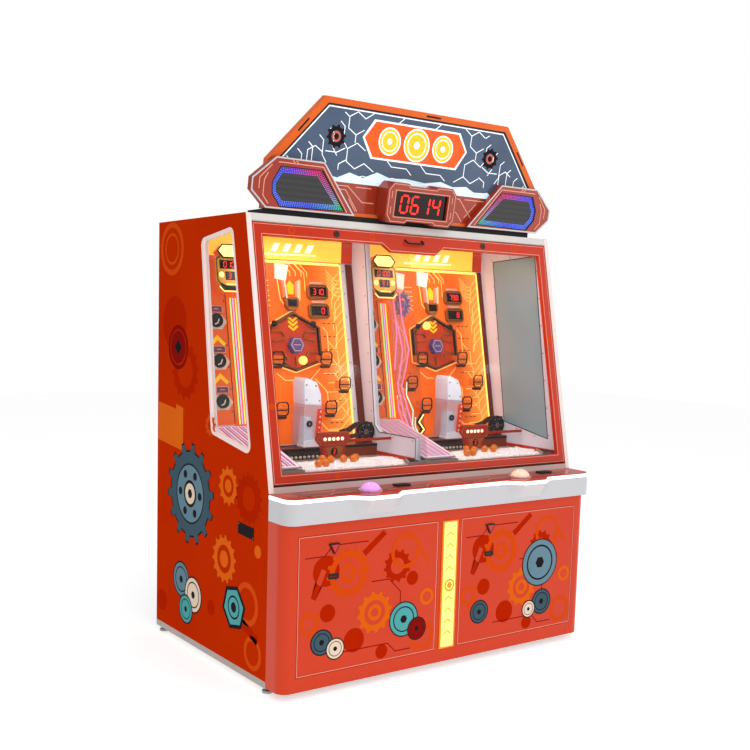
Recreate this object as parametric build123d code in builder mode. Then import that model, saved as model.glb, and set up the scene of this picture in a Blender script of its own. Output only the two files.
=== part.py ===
from build123d import *
import os
from math import asin, cos, hypot, sin

os.makedirs("parts", exist_ok=True)

# A two-player coin pusher cabinet, in millimetres. +Z is up and the players stand on the -Y side.
# The origin is on the floor, under the middle of the cabinet's bounding box.

# Overall cabinet
HALF_WIDTH = 825.0          # centre to the outer face of a side panel
PANEL = 22.0                # side panel board
INNER = HALF_WIDTH - PANEL
BACK_Y = 608.0
FRONT_Y = -608.0            # the console's button noses
CABINET_TOP = 1887.0
PANEL_BOTTOM = 53.0
PANEL_FRONT_Y = -407.0      # upright part of the side panel's front edge
PANEL_TOP_FRONT_Y = -190.0  # where the sloped front edge meets the roof
GAP = 2.0                   # shut line around doors

# Lower front
BASE_FRONT_Y = -520.0
BASE_BOTTOM = 31.0
BASE_WALL = 18.0
BASE_CORNER = 45.0
CONSOLE_BOTTOM = 699.0
DECK_TOP = 802.0
CONSOLE_FRONT_Y = -554.0
CONSOLE_CORNER = 50.0
STATION = 412.0             # centre to each player's button

# Sloped glass door, in its own plane: x across, s up the slope, d out of the face
SLOPE_RISE = CABINET_TOP - DECK_TOP
SLOPE_RUN = PANEL_TOP_FRONT_Y - PANEL_FRONT_Y
SLOPE = hypot(SLOPE_RISE, SLOPE_RUN)
LEAN_SIN = SLOPE_RUN / SLOPE
LEAN_COS = SLOPE_RISE / SLOPE
FACE = Plane(
    origin=(0, PANEL_FRONT_Y, DECK_TOP), x_dir=(1, 0, 0), z_dir=(0, -LEAN_COS, LEAN_SIN)
)
DOOR_HALF = 800.0
DOOR_BOTTOM = 30.0
DOOR_TOP = 1071.0
DOOR_THICK = 28.0
DOOR_HINGE = 44.0           # hinge axis, up the slope
LOCK_X = 404.0
LOCK_S = 1047.0

# Playfield panels lean back behind the glass
FIELD_Y = 125.0             # front surface at FIELD_Z
FIELD_Z = 1080.0
FIELD_LEAN = 0.2
FIELD_BOTTOM = 915.0
FIELD_TOP = 1735.0
FIELD_BOARD = 12.0
FIELD_FRONT = Plane(origin=(0, FIELD_Y, FIELD_Z), x_dir=(1, 0, 0), z_dir=(0, -1, FIELD_LEAN))
BED_TOP = 862.0
BED_BOARD = 12.0
DIVIDER_HALF = 14.0
LINER = 6.0
BAY_LEFT = (-INNER + LINER, -DIVIDER_HALF)
BAY_RIGHT = (DIVIDER_HALF, INNER - LINER)
FIELD_CENTRES = (-365.0, 446.0)   # middle of each player's target field

# Pusher
PUSHER_HALF = 166.0
PUSHER_TOP = 911.0
PUSHER_BACK = 300.0
PUSHER_ROD = 8.0
RUNNING = 0.05              # radial clearance of a shaft in its hole

# Marquee, in its own plane: x across, q up the face, d out of the face
MARQUEE_BASE = (0, -167.0, 1912.0)
MARQUEE_SIN = 0.1658
MARQUEE_COS = 0.9862
SIGN = Plane(origin=MARQUEE_BASE, x_dir=(1, 0, 0), z_dir=(0, -MARQUEE_COS, -MARQUEE_SIN))


def face_to_world(s, d):
    """Y and Z of a point s up the sloped face and d out of it."""
    return (
        PANEL_FRONT_Y + s * LEAN_SIN - d * LEAN_COS,
        DECK_TOP + s * LEAN_COS + d * LEAN_SIN,
    )


def field_y(z):
    """Y of the playfield's front surface at a height."""
    return FIELD_Y + (z - FIELD_Z) * FIELD_LEAN


def up_field(z):
    """Distance up the playfield's front surface at a height."""
    return (z - FIELD_Z) * hypot(1, FIELD_LEAN)


def block(x, y, z, mode=Mode.ADD):
    """A box from its three (low, high) ranges, in the sub-part being built."""
    middle = [(low + high) / 2 for low, high in (x, y, z)]
    size = [high - low for low, high in (x, y, z)]
    with Locations(tuple(middle)):
        Box(*size, mode=mode)


def prism(plane, points, depth, radius=0.0, mode=Mode.ADD):
    """A polygon with rounded corners on a plane, extruded along the plane's normal."""
    with BuildSketch(plane) as profile:
        with BuildLine():
            Polyline(*points, close=True)
        make_face()
        if radius:
            fillet(profile.vertices(), radius)
    extrude(profile.sketch, amount=depth, mode=mode)


def rod(origin, direction, radius, length, mode=Mode.ADD):
    """A round bar or hole from a point along a direction."""
    with BuildSketch(Plane(origin=origin, z_dir=direction)) as section:
        Circle(radius)
    extrude(section.sketch, amount=length, mode=mode)


def box_points(x, y):
    """The corners of a rectangle from its two (low, high) ranges."""
    return [(x[0], y[0]), (x[1], y[0]), (x[1], y[1]), (x[0], y[1])]


def mirrored(points):
    """The same outline on the other side of the cabinet."""
    return [(-x, y) for x, y in points]


def save(builder, node):
    """Name a finished piece and write its STEP file."""
    builder.part.label = node
    export_step(builder.part, f"parts/{node}.step")


# Side panels: laminated board with a sloped front edge and a tall slanted window
side_outline = [
    (BACK_Y, PANEL_BOTTOM),
    (PANEL_FRONT_Y, PANEL_BOTTOM),
    (PANEL_FRONT_Y, DECK_TOP),
    (PANEL_TOP_FRONT_Y, CABINET_TOP),
    (BACK_Y, CABINET_TOP),
]
window = [(182.0, 1793.0), (-84.0, 1830.0), (-258.0, 942.0), (70.0, 993.0)]
WINDOW_RADIUS = 26.0
HINGE_PIN = 5.0
HINGE_PIN_IN_PANEL = 12.0
hinge_y, hinge_z = face_to_world(DOOR_HINGE, -DOOR_THICK / 2)

for node, outer_x in (("side_panel_left", -HALF_WIDTH), ("side_panel_right", INNER)):
    with BuildPart() as side_panel:
        prism(Plane.YZ.offset(outer_x), side_outline, PANEL)
        prism(Plane.YZ.offset(outer_x), window, PANEL, WINDOW_RADIUS, Mode.SUBTRACT)
        pocket_x = -INNER - HINGE_PIN_IN_PANEL if outer_x < 0 else INNER
        rod((pocket_x, hinge_y, hinge_z), (1, 0, 0), HINGE_PIN, HINGE_PIN_IN_PANEL, Mode.SUBTRACT)
    save(side_panel, node)

# Trims: a rubber gasket round each side window and an edge moulding down each sloped edge
GASKET_LIP = 7.0
GASKET_PROUD = 1.5
TRIM_THICK = 2.0


def grown(points, amount):
    """A polygon offset outwards, or inwards when the amount is negative."""
    with BuildSketch(mode=Mode.PRIVATE) as bigger:
        with BuildLine():
            Polyline(*points, close=True)
        make_face()
        offset(amount=amount, kind=Kind.INTERSECTION)
    starts = [edge @ 0 for edge in bigger.sketch.face().outer_wire().order_edges()]
    return [(point.X, point.Y) for point in starts]


with BuildPart() as side_trims:
    for outer_x, sign in ((-HALF_WIDTH, -1), (HALF_WIDTH, 1)):
        outside = Plane.YZ.offset(outer_x - (GASKET_PROUD if sign < 0 else 0))
        prism(outside, grown(window, GASKET_LIP), GASKET_PROUD, WINDOW_RADIUS + GASKET_LIP)
        prism(outside, grown(window, -GASKET_LIP), GASKET_PROUD, WINDOW_RADIUS - GASKET_LIP, Mode.SUBTRACT)
        board = Plane.YZ.offset(min(outer_x, outer_x - sign * PANEL))
        prism(board, window, PANEL, WINDOW_RADIUS)
        prism(board, grown(window, -GASKET_LIP), PANEL, WINDOW_RADIUS - GASKET_LIP, Mode.SUBTRACT)
        edge_x = (-HALF_WIDTH, -INNER) if sign < 0 else (INNER, HALF_WIDTH)
        prism(FACE, box_points(edge_x, (1.0, SLOPE - 1.0)), TRIM_THICK)
save(side_trims, "side_trims")

# Clear panes: one in each side window and one in each inner wall
PANE = 4.0
wall_window = [(156.0, 1784.0), (-142.0, 1806.0), (-286.0, 930.0), (25.0, 986.0)]
WALL_WINDOW_RADIUS = 30.0
RAIL_FRONT = -285.0
RAIL_TOP = 965.0
LINER_BOTTOM = 850.0
LINER_TOP = 1866.0
liner_front_bottom = face_to_world(78.0, -DOOR_THICK - 6.0)
liner_front_top = face_to_world(1062.0, -DOOR_THICK - 6.0)
post_edge = [(-10.0, RAIL_TOP), (24.0, RAIL_TOP + 32.0), (150.0, LINER_TOP)]
with BuildPart() as window_panes:
    for x in (-HALF_WIDTH + PANEL / 2, HALF_WIDTH - PANEL / 2 - PANE):
        prism(Plane.YZ.offset(x), grown(window, -GASKET_LIP), PANE, WINDOW_RADIUS - GASKET_LIP)
    prism(Plane.YZ.offset(-PANE / 2), [
        *post_edge, (liner_front_top[0], LINER_TOP), liner_front_top,
        (liner_front_bottom[0] + 8, RAIL_TOP - 85.0), (RAIL_FRONT, RAIL_TOP - 85.0),
        (RAIL_FRONT, RAIL_TOP)], PANE)
    prism(Plane.YZ.offset(BAY_RIGHT[1] + 1.0), wall_window, PANE, WALL_WINDOW_RADIUS)
save(window_panes, "window_panes")

# Inner walls: white liners on the side panels, and the post and rail that hold the divider's pane
wall_back = [(field_y(LINER_TOP) + 40.0, LINER_TOP), (field_y(LINER_BOTTOM) + 40.0, LINER_BOTTOM)]
wall_outline = [
    *wall_back, (liner_front_bottom[0], LINER_BOTTOM), liner_front_top, (liner_front_top[0], LINER_TOP)]
with BuildPart() as inner_walls:
    prism(Plane.YZ.offset(-DIVIDER_HALF), [
        *wall_back, (RAIL_FRONT, LINER_BOTTOM), (RAIL_FRONT, RAIL_TOP), *post_edge], 2 * DIVIDER_HALF)
    prism(Plane.YZ.offset(INNER - LINER), wall_outline, LINER)
    prism(Plane.YZ.offset(INNER - LINER), wall_window, LINER, WALL_WINDOW_RADIUS, Mode.SUBTRACT)
    prism(Plane.YZ.offset(-INNER), wall_outline, LINER)
    prism(Plane.YZ.offset(-INNER), window, LINER, WINDOW_RADIUS, Mode.SUBTRACT)
save(inner_walls, "inner_walls")

# Base tray: folded steel floor whose rims show as grey kick rails under the side panels
TRAY_BOTTOM = 26.0
TRAY_FLOOR = 62.0
TRAY_TOP = 66.0
TRAY_FRONT_Y = -405.0
RIM = 55.0
FOOT_X = 797.0
FOOT_YS = (-377.0, 580.0)
FOOT_STUD = 6.0
with BuildPart() as base_tray:
    block((-INNER, INNER), (TRAY_FRONT_Y, BACK_Y), (TRAY_FLOOR, TRAY_TOP))
    for sign in (-1, 1):
        wide = sorted((sign * (HALF_WIDTH - RIM), sign * HALF_WIDTH))
        narrow = sorted((sign * (HALF_WIDTH - RIM), sign * INNER))
        block(wide, (TRAY_FRONT_Y, BACK_Y), (TRAY_BOTTOM, PANEL_BOTTOM))
        block(narrow, (TRAY_FRONT_Y, BACK_Y), (PANEL_BOTTOM, TRAY_FLOOR))
    for low in (TRAY_FRONT_Y, BACK_Y - RIM):
        block((-INNER, INNER), (low, low + RIM), (TRAY_BOTTOM, TRAY_FLOOR))
    for x in (-FOOT_X, FOOT_X):
        for y in FOOT_YS:
            rod((x, y, TRAY_BOTTOM), (0, 0, 1), FOOT_STUD, PANEL_BOTTOM - TRAY_BOTTOM, Mode.SUBTRACT)
save(base_tray, "base_tray")

# Levelling feet: a round pad and a stud screwed up into the tray's rim
FOOT_PAD = 22.0
FOOT_PAD_TALL = 9.0
with BuildPart() as levelling_feet:
    for x in (-FOOT_X, FOOT_X):
        for y in FOOT_YS:
            rod((x, y, 0), (0, 0, 1), FOOT_PAD, FOOT_PAD_TALL)
            rod((x, y, FOOT_PAD_TALL), (0, 0, 1), FOOT_STUD, PANEL_BOTTOM - FOOT_PAD_TALL)
save(levelling_feet, "levelling_feet")

# Casters: fixed forks in front, swivelling forks behind, wheels held just clear of the floor
CASTER_X = 690.0
CASTER_FRONT_Y = -280.0
CASTER_REAR_Y = 480.0
CASTER_TRAIL = 14.0
WHEEL_RADIUS = 24.0
WHEEL_WIDTH = 20.0
WHEEL_Z = 28.0
AXLE = 4.0
EAR = 4.0
EAR_GAP = 2.0
PLATE_HALF = 32.0
KINGPIN = 5.0


def fork(x, y, top, wheel_y):
    """Two ears and the axle between them, hanging from a height."""
    ear_in = WHEEL_WIDTH / 2 + EAR_GAP
    for sign in (-1, 1):
        block(sorted((x + sign * ear_in, x + sign * (ear_in + EAR))), (wheel_y - 11, wheel_y + 11),
              (WHEEL_Z - 9, top))
    rod((x - ear_in, wheel_y, WHEEL_Z), (1, 0, 0), AXLE, 2 * ear_in)


with BuildPart() as caster_brackets:
    for x in (-CASTER_X, CASTER_X):
        block((x - PLATE_HALF, x + PLATE_HALF), (CASTER_FRONT_Y - PLATE_HALF, CASTER_FRONT_Y + PLATE_HALF),
              (TRAY_FLOOR - 4, TRAY_FLOOR))
        fork(x, CASTER_FRONT_Y, TRAY_FLOOR - 4, CASTER_FRONT_Y)
        block((x - PLATE_HALF, x + PLATE_HALF), (CASTER_REAR_Y - PLATE_HALF, CASTER_REAR_Y + PLATE_HALF),
              (TRAY_FLOOR - 3, TRAY_FLOOR))
        rod((x, CASTER_REAR_Y, TRAY_FLOOR - 9), (0, 0, 1), KINGPIN, 6)
save(caster_brackets, "caster_brackets")

for name, x in (("left", -CASTER_X), ("right", CASTER_X)):
    with BuildPart() as caster_fork:
        rod((x, CASTER_REAR_Y, TRAY_FLOOR - 8), (0, 0, 1), 27, 4.5)
        rod((x, CASTER_REAR_Y, TRAY_FLOOR - 8), (0, 0, 1), KINGPIN + RUNNING, 4.5, Mode.SUBTRACT)
        fork(x, CASTER_REAR_Y, TRAY_FLOOR - 8, CASTER_REAR_Y - CASTER_TRAIL)
    save(caster_fork, f"caster_fork_{name}")
    for place, y in (("front", CASTER_FRONT_Y), ("rear", CASTER_REAR_Y - CASTER_TRAIL)):
        with BuildPart() as wheel:
            rod((x - WHEEL_WIDTH / 2, y, WHEEL_Z), (1, 0, 0), WHEEL_RADIUS, WHEEL_WIDTH)
            fillet(wheel.edges().filter_by(GeomType.CIRCLE), 3)
            rod((x - WHEEL_WIDTH / 2, y, WHEEL_Z), (1, 0, 0), AXLE + RUNNING, WHEEL_WIDTH, Mode.SUBTRACT)
        save(wheel, f"caster_wheel_{place}_{name}")

# Base front: a moulded wrap with rounded corners, two door openings and the lamp slot
DOOR_INNER_X = 64.0
DOOR_OUTER_X = 755.0
DOOR_LOW = 90.0
DOOR_HIGH = 646.0
LIGHT_HALF = 37.0
LIGHT_LOW = 93.0
LIGHT_HIGH = 642.0
PIVOT = 4.0
PIVOT_IN_RAIL = 16.0
PIVOT_IN_DOOR = 18.0
PIVOT_END = 1.0             # space past the end of a pivot
BOARD_MID_Y = BASE_FRONT_Y + BASE_WALL / 2
PIVOT_X = DOOR_OUTER_X - BASE_WALL / 2


def front_shell_outline(half, front_y, back_y):
    """Rectangle in plan with its two front corners to be rounded."""
    return [(-half, back_y), (-half, front_y), (half, front_y), (half, back_y)]


def plan_slab(half, front_y, back_y, corner, low, high, mode=Mode.ADD):
    """A slab whose front corners are rounded in plan."""
    with BuildSketch(Plane.XY.offset(low)) as plan:
        with BuildLine():
            Polyline(*front_shell_outline(half, front_y, back_y), close=True)
        make_face()
        fillet(plan.vertices().group_by(Axis.Y)[0], corner)
    extrude(plan.sketch, amount=high - low, mode=mode)


with BuildPart() as base_front:
    plan_slab(HALF_WIDTH, BASE_FRONT_Y, PANEL_FRONT_Y, BASE_CORNER, BASE_BOTTOM, CONSOLE_BOTTOM)
    plan_slab(HALF_WIDTH - BASE_WALL, BASE_FRONT_Y + BASE_WALL, PANEL_FRONT_Y,
              BASE_CORNER - BASE_WALL, BASE_BOTTOM, CONSOLE_BOTTOM, Mode.SUBTRACT)
    for sign in (-1, 1):
        opening = sorted((sign * (DOOR_INNER_X - GAP), sign * (DOOR_OUTER_X + GAP)))
        block(opening, (BASE_FRONT_Y, BASE_FRONT_Y + BASE_WALL), (DOOR_LOW - GAP, DOOR_HIGH + GAP),
              Mode.SUBTRACT)
        for low in (DOOR_LOW - GAP - PIVOT_IN_RAIL, DOOR_HIGH + GAP):
            rod((sign * PIVOT_X, BOARD_MID_Y, low), (0, 0, 1), PIVOT, PIVOT_IN_RAIL, Mode.SUBTRACT)
    prism(Plane.XZ.offset(-BASE_FRONT_Y - BASE_WALL),
          box_points((-LIGHT_HALF, LIGHT_HALF), (LIGHT_LOW, LIGHT_HIGH)),
          BASE_WALL, 12.0, Mode.SUBTRACT)
save(base_front, "base_front")

# Centre light: a glowing acrylic bar in the post between the two service doors
LIGHT_PROUD = 5.0
BOSS_RADIUS = 27.0
BOSS_Z = 366.0
with BuildPart() as centre_light:
    prism(Plane.XZ.offset(-BASE_FRONT_Y - BASE_WALL),
          box_points((-LIGHT_HALF, LIGHT_HALF), (LIGHT_LOW, LIGHT_HIGH)),
          BASE_WALL + LIGHT_PROUD, 12.0)
    fillet(centre_light.faces().sort_by(Axis.Y)[0].edges(), 3)
    rod((0, BASE_FRONT_Y - LIGHT_PROUD, BOSS_Z), (0, -1, 0), BOSS_RADIUS, 4)
save(centre_light, "centre_light")

# Service doors: flush boards turning on top and bottom pivots at their outer edges
LAMP_OFFSET = -182.0
LAMP_Z = 592.0
SLOT_Z = 476.0
SLOT_HALF = 21.0
SLOT_TALL = 7.0
LAMP_BORE = 14.0
for name, sign in (("left", -1), ("right", 1)):
    door_x = sorted((sign * DOOR_INNER_X, sign * DOOR_OUTER_X))
    lamp_x = (door_x[0] + door_x[1]) / 2 + LAMP_OFFSET
    with BuildPart() as service_door:
        square = sorted((sign * DOOR_INNER_X, sign * PIVOT_X))
        block(square, (BASE_FRONT_Y, BASE_FRONT_Y + BASE_WALL), (DOOR_LOW, DOOR_HIGH))
        rod((sign * PIVOT_X, BOARD_MID_Y, DOOR_LOW), (0, 0, 1), BASE_WALL / 2, DOOR_HIGH - DOOR_LOW)
        for low in (DOOR_LOW, DOOR_HIGH - PIVOT_IN_DOOR - PIVOT_END):
            rod((sign * PIVOT_X, BOARD_MID_Y, low), (0, 0, 1), PIVOT + RUNNING,
                PIVOT_IN_DOOR + PIVOT_END, Mode.SUBTRACT)
        block((lamp_x - SLOT_HALF, lamp_x + SLOT_HALF), (BASE_FRONT_Y, BASE_FRONT_Y + BASE_WALL),
              (SLOT_Z - SLOT_TALL, SLOT_Z + SLOT_TALL), Mode.SUBTRACT)
        rod((lamp_x, BASE_FRONT_Y, LAMP_Z), (0, 1, 0), LAMP_BORE, BASE_WALL, Mode.SUBTRACT)
    save(service_door, f"service_door_{name}")

    # Ticket outlet: a triangular lamp over the black mouth that the tickets come out of
    with BuildPart() as ticket_outlet:
        triangle = [(lamp_x - 27, LAMP_Z + 17), (lamp_x, LAMP_Z - 30), (lamp_x + 27, LAMP_Z + 17)]
        prism(Plane.XZ.offset(-BASE_FRONT_Y), triangle, 7.0, 4.0)
        rod((lamp_x, BASE_FRONT_Y, LAMP_Z), (0, 1, 0), LAMP_BORE, BASE_WALL + 14)
        mouth = box_points((lamp_x - SLOT_HALF - 4, lamp_x + SLOT_HALF + 4),
                           (SLOT_Z - SLOT_TALL - 4, SLOT_Z + SLOT_TALL + 4))
        prism(Plane.XZ.offset(-BASE_FRONT_Y), mouth, 3.0, 5.0)
        block((lamp_x - SLOT_HALF, lamp_x + SLOT_HALF), (BASE_FRONT_Y, BASE_FRONT_Y + BASE_WALL),
              (SLOT_Z - SLOT_TALL, SLOT_Z + SLOT_TALL))
        block((lamp_x - SLOT_HALF + 3, lamp_x + SLOT_HALF - 3), (BASE_FRONT_Y - 3, BASE_FRONT_Y + BASE_WALL),
              (SLOT_Z - 1.6, SLOT_Z + 1.6), Mode.SUBTRACT)
    save(ticket_outlet, f"ticket_outlet_{name}")

# Console: a pale moulded band with a nose at each button, a light strip and a printed deck
NOSE_BASE = 132.0
NOSE_FLAT = 66.0
STRIP_BOTTOM = 784.0
DECK_BOTTOM = 798.0
CONSOLE_WALL = 6.0
STRIP_WIDE = 14.0
BUTTON_Y = -505.0
BUTTON_HOLE = 31.0
COIN_SHIFT = 190.0
COIN_Y = -462.0
COIN_HALF = (26.0, 14.0)


def nose(inset):
    """Plan of one button nose, from its root just inside the band."""
    depth = CONSOLE_FRONT_Y - FRONT_Y
    return [(-NOSE_BASE + inset, 8), (-NOSE_BASE + inset, 0), (-NOSE_FLAT, -depth),
            (NOSE_FLAT, -depth), (NOSE_BASE - inset, 0), (NOSE_BASE - inset, 8)]


def console_layer(inset, low, high, mode=Mode.ADD):
    """One level of the console: the rounded band outline with its two noses."""
    with BuildSketch(Plane.XY.offset(low)) as plan:
        half = HALF_WIDTH - inset
        with BuildLine():
            Polyline(*front_shell_outline(half, CONSOLE_FRONT_Y + inset, PANEL_FRONT_Y), close=True)
        make_face()
        fillet(plan.vertices().group_by(Axis.Y)[0], CONSOLE_CORNER - inset)
        with Locations((-STATION, CONSOLE_FRONT_Y + inset), (STATION, CONSOLE_FRONT_Y + inset)):
            Polygon(*nose(inset), align=None)
    extrude(plan.sketch, amount=high - low, mode=mode)


with BuildPart() as console_shell:
    plan_slab(HALF_WIDTH, CONSOLE_FRONT_Y, PANEL_FRONT_Y, CONSOLE_CORNER, CONSOLE_BOTTOM, STRIP_BOTTOM)
    plan_slab(HALF_WIDTH - CONSOLE_WALL, CONSOLE_FRONT_Y + CONSOLE_WALL, PANEL_FRONT_Y,
              CONSOLE_CORNER - CONSOLE_WALL, CONSOLE_BOTTOM + CONSOLE_WALL, STRIP_BOTTOM, Mode.SUBTRACT)
    block((-INNER + 60, INNER - 60), (BASE_FRONT_Y + 40, PANEL_FRONT_Y - 14),
          (CONSOLE_BOTTOM, CONSOLE_BOTTOM + CONSOLE_WALL), Mode.SUBTRACT)
    for x in (-STATION, STATION):
        with BuildSketch(Plane.XY.offset(STRIP_BOTTOM)) as upper:
            with Locations((x, CONSOLE_FRONT_Y)):
                Polygon(*nose(0)[1:5], align=None)
        with BuildSketch(Plane.XY.offset(STRIP_BOTTOM - 66)) as lower:
            with Locations((x, CONSOLE_FRONT_Y)):
                Polygon((-NOSE_FLAT - 20, 0), (-NOSE_FLAT, -2), (NOSE_FLAT, -2), (NOSE_FLAT + 20, 0),
                        align=None)
        loft([lower.sketch.face(), upper.sketch.face()])
save(console_shell, "console_shell")

with BuildPart() as console_light_strip:
    console_layer(0.0, STRIP_BOTTOM, DECK_BOTTOM)
    console_layer(STRIP_WIDE, STRIP_BOTTOM, DECK_BOTTOM, Mode.SUBTRACT)
save(console_light_strip, "console_light_strip")

with BuildPart() as console_deck:
    console_layer(4.0, DECK_BOTTOM, DECK_TOP)
    for x in (-STATION, STATION):
        rod((x, BUTTON_Y, DECK_BOTTOM), (0, 0, 1), BUTTON_HOLE, DECK_TOP - DECK_BOTTOM, Mode.SUBTRACT)
        block((x + COIN_SHIFT - COIN_HALF[0], x + COIN_SHIFT + COIN_HALF[0]),
              (COIN_Y - COIN_HALF[1], COIN_Y + COIN_HALF[1]), (DECK_BOTTOM, DECK_TOP), Mode.SUBTRACT)
save(console_deck, "console_deck")

# Player buttons: big lit domes on stems that pass through the deck
DOME = 41.0
DOME_BASE = 808.0
DOME_TOP = 837.0
DOME_RIM = 5.0
STEM = 29.0
STEM_BOTTOM = 744.0
CROWN = DOME_TOP - DOME_BASE - DOME_RIM
CROWN_RADIUS = (DOME**2 + CROWN**2) / (2 * CROWN)
HALFWAY = asin(DOME / CROWN_RADIUS) / 2
for name, x in (("left", -STATION), ("right", STATION)):
    with BuildPart() as button:
        with BuildSketch(Plane(origin=(x, BUTTON_Y, 0), x_dir=(1, 0, 0), z_dir=(0, -1, 0))) as half:
            with BuildLine():
                Polyline((0, DOME_TOP), (0, STEM_BOTTOM), (STEM, STEM_BOTTOM), (STEM, DOME_BASE),
                         (DOME, DOME_BASE), (DOME, DOME_BASE + DOME_RIM))
                ThreePointArc((DOME, DOME_BASE + DOME_RIM),
                              (CROWN_RADIUS * sin(HALFWAY), DOME_TOP - CROWN_RADIUS * (1 - cos(HALFWAY))),
                              (0, DOME_TOP))
            make_face()
        revolve(half.sketch, axis=Axis((x, BUTTON_Y, 0), (0, 0, 1)))
    save(button, f"button_{name}")

# Coin entries: black mechanisms set in the deck beside each button
COIN_DEEP = 62.0
with BuildPart() as coin_entries:
    for x in (-STATION + COIN_SHIFT, STATION + COIN_SHIFT):
        prism(Plane.XY.offset(DECK_TOP), box_points((x - 36, x + 36), (COIN_Y - 21, COIN_Y + 21)), 7.0, 8.0)
        block((x - COIN_HALF[0], x + COIN_HALF[0]), (COIN_Y - COIN_HALF[1], COIN_Y + COIN_HALF[1]),
              (DECK_TOP - COIN_DEEP, DECK_TOP))
        block((x - 15, x + 15), (COIN_Y - 1.6, COIN_Y + 1.6), (DECK_TOP - COIN_DEEP, DECK_TOP + 7),
              Mode.SUBTRACT)
save(coin_entries, "coin_entries")

# Door sill: pale folded strip between the deck and the glass door
with BuildPart() as door_sill:
    sill_top = 24.0
    prism(Plane.YZ.offset(-INNER), [
        (PANEL_FRONT_Y, STRIP_BOTTOM), (PANEL_FRONT_Y, DECK_TOP), face_to_world(sill_top, 0),
        face_to_world(sill_top, -DOOR_THICK), (PANEL_FRONT_Y + 42, STRIP_BOTTOM)], 2 * INNER)
save(door_sill, "door_sill")

# Roof: folded steel lid with the pale front beam over the door
BEAM_S = 1075.0
ROOF_SHEET = 16.0
with BuildPart() as roof:
    prism(Plane.YZ.offset(-INNER), [
        face_to_world(BEAM_S, 0), (PANEL_TOP_FRONT_Y, CABINET_TOP), (BACK_Y, CABINET_TOP),
        (BACK_Y, CABINET_TOP - ROOF_SHEET), (face_to_world(BEAM_S + 20, -25)[0], CABINET_TOP - ROOF_SHEET),
        face_to_world(BEAM_S, -25)],
        2 * INNER)
save(roof, "roof")

# Back panel with the rear service door's opening
REAR_HALF = 300.0
REAR_LOW = 220.0
REAR_HIGH = 1150.0
REAR_BOARD = 18.0
REAR_MID_Y = BACK_Y - REAR_BOARD / 2
REAR_PIVOT_X = REAR_HALF - REAR_BOARD / 2
INLET_X = -560.0
INLET_Z = 160.0
INLET_HALF = (24.0, 14.0)
with BuildPart() as back_panel:
    block((-INNER, INNER), (BACK_Y - REAR_BOARD, BACK_Y), (TRAY_TOP, CABINET_TOP - ROOF_SHEET))
    block((-REAR_HALF - GAP, REAR_HALF + GAP), (BACK_Y - REAR_BOARD, BACK_Y),
          (REAR_LOW - GAP, REAR_HIGH + GAP),
          Mode.SUBTRACT)
    for low in (REAR_LOW - GAP - PIVOT_IN_RAIL, REAR_HIGH + GAP):
        rod((REAR_PIVOT_X, REAR_MID_Y, low), (0, 0, 1), PIVOT, PIVOT_IN_RAIL, Mode.SUBTRACT)
    block((INLET_X - INLET_HALF[0], INLET_X + INLET_HALF[0]), (BACK_Y - REAR_BOARD, BACK_Y),
          (INLET_Z - INLET_HALF[1], INLET_Z + INLET_HALF[1]), Mode.SUBTRACT)
save(back_panel, "back_panel")

with BuildPart() as rear_door:
    block((-REAR_HALF, REAR_PIVOT_X), (BACK_Y - REAR_BOARD, BACK_Y), (REAR_LOW, REAR_HIGH))
    rod((REAR_PIVOT_X, REAR_MID_Y, REAR_LOW), (0, 0, 1), REAR_BOARD / 2, REAR_HIGH - REAR_LOW)
    for low in (REAR_LOW, REAR_HIGH - PIVOT_IN_DOOR - PIVOT_END):
        rod((REAR_PIVOT_X, REAR_MID_Y, low), (0, 0, 1), PIVOT + RUNNING,
            PIVOT_IN_DOOR + PIVOT_END, Mode.SUBTRACT)
save(rear_door, "rear_door")

# Hinge pins: pivots of the service doors, the rear door and the glass door
with BuildPart() as hinge_pins:
    for sign in (-1, 1):
        for low in (DOOR_LOW - GAP - PIVOT_IN_RAIL, DOOR_HIGH - PIVOT_IN_DOOR):
            rod((sign * PIVOT_X, BOARD_MID_Y, low), (0, 0, 1), PIVOT, PIVOT_IN_RAIL + GAP + PIVOT_IN_DOOR)
        start = -INNER - HINGE_PIN_IN_PANEL if sign < 0 else DOOR_HALF - 30
        rod((start, hinge_y, hinge_z), (1, 0, 0), HINGE_PIN, INNER + HINGE_PIN_IN_PANEL - (DOOR_HALF - 30))
    for low in (REAR_LOW - GAP - PIVOT_IN_RAIL, REAR_HIGH - PIVOT_IN_DOOR):
        rod((REAR_PIVOT_X, REAR_MID_Y, low), (0, 0, 1), PIVOT, PIVOT_IN_RAIL + GAP + PIVOT_IN_DOOR)
save(hinge_pins, "hinge_pins")

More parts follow.
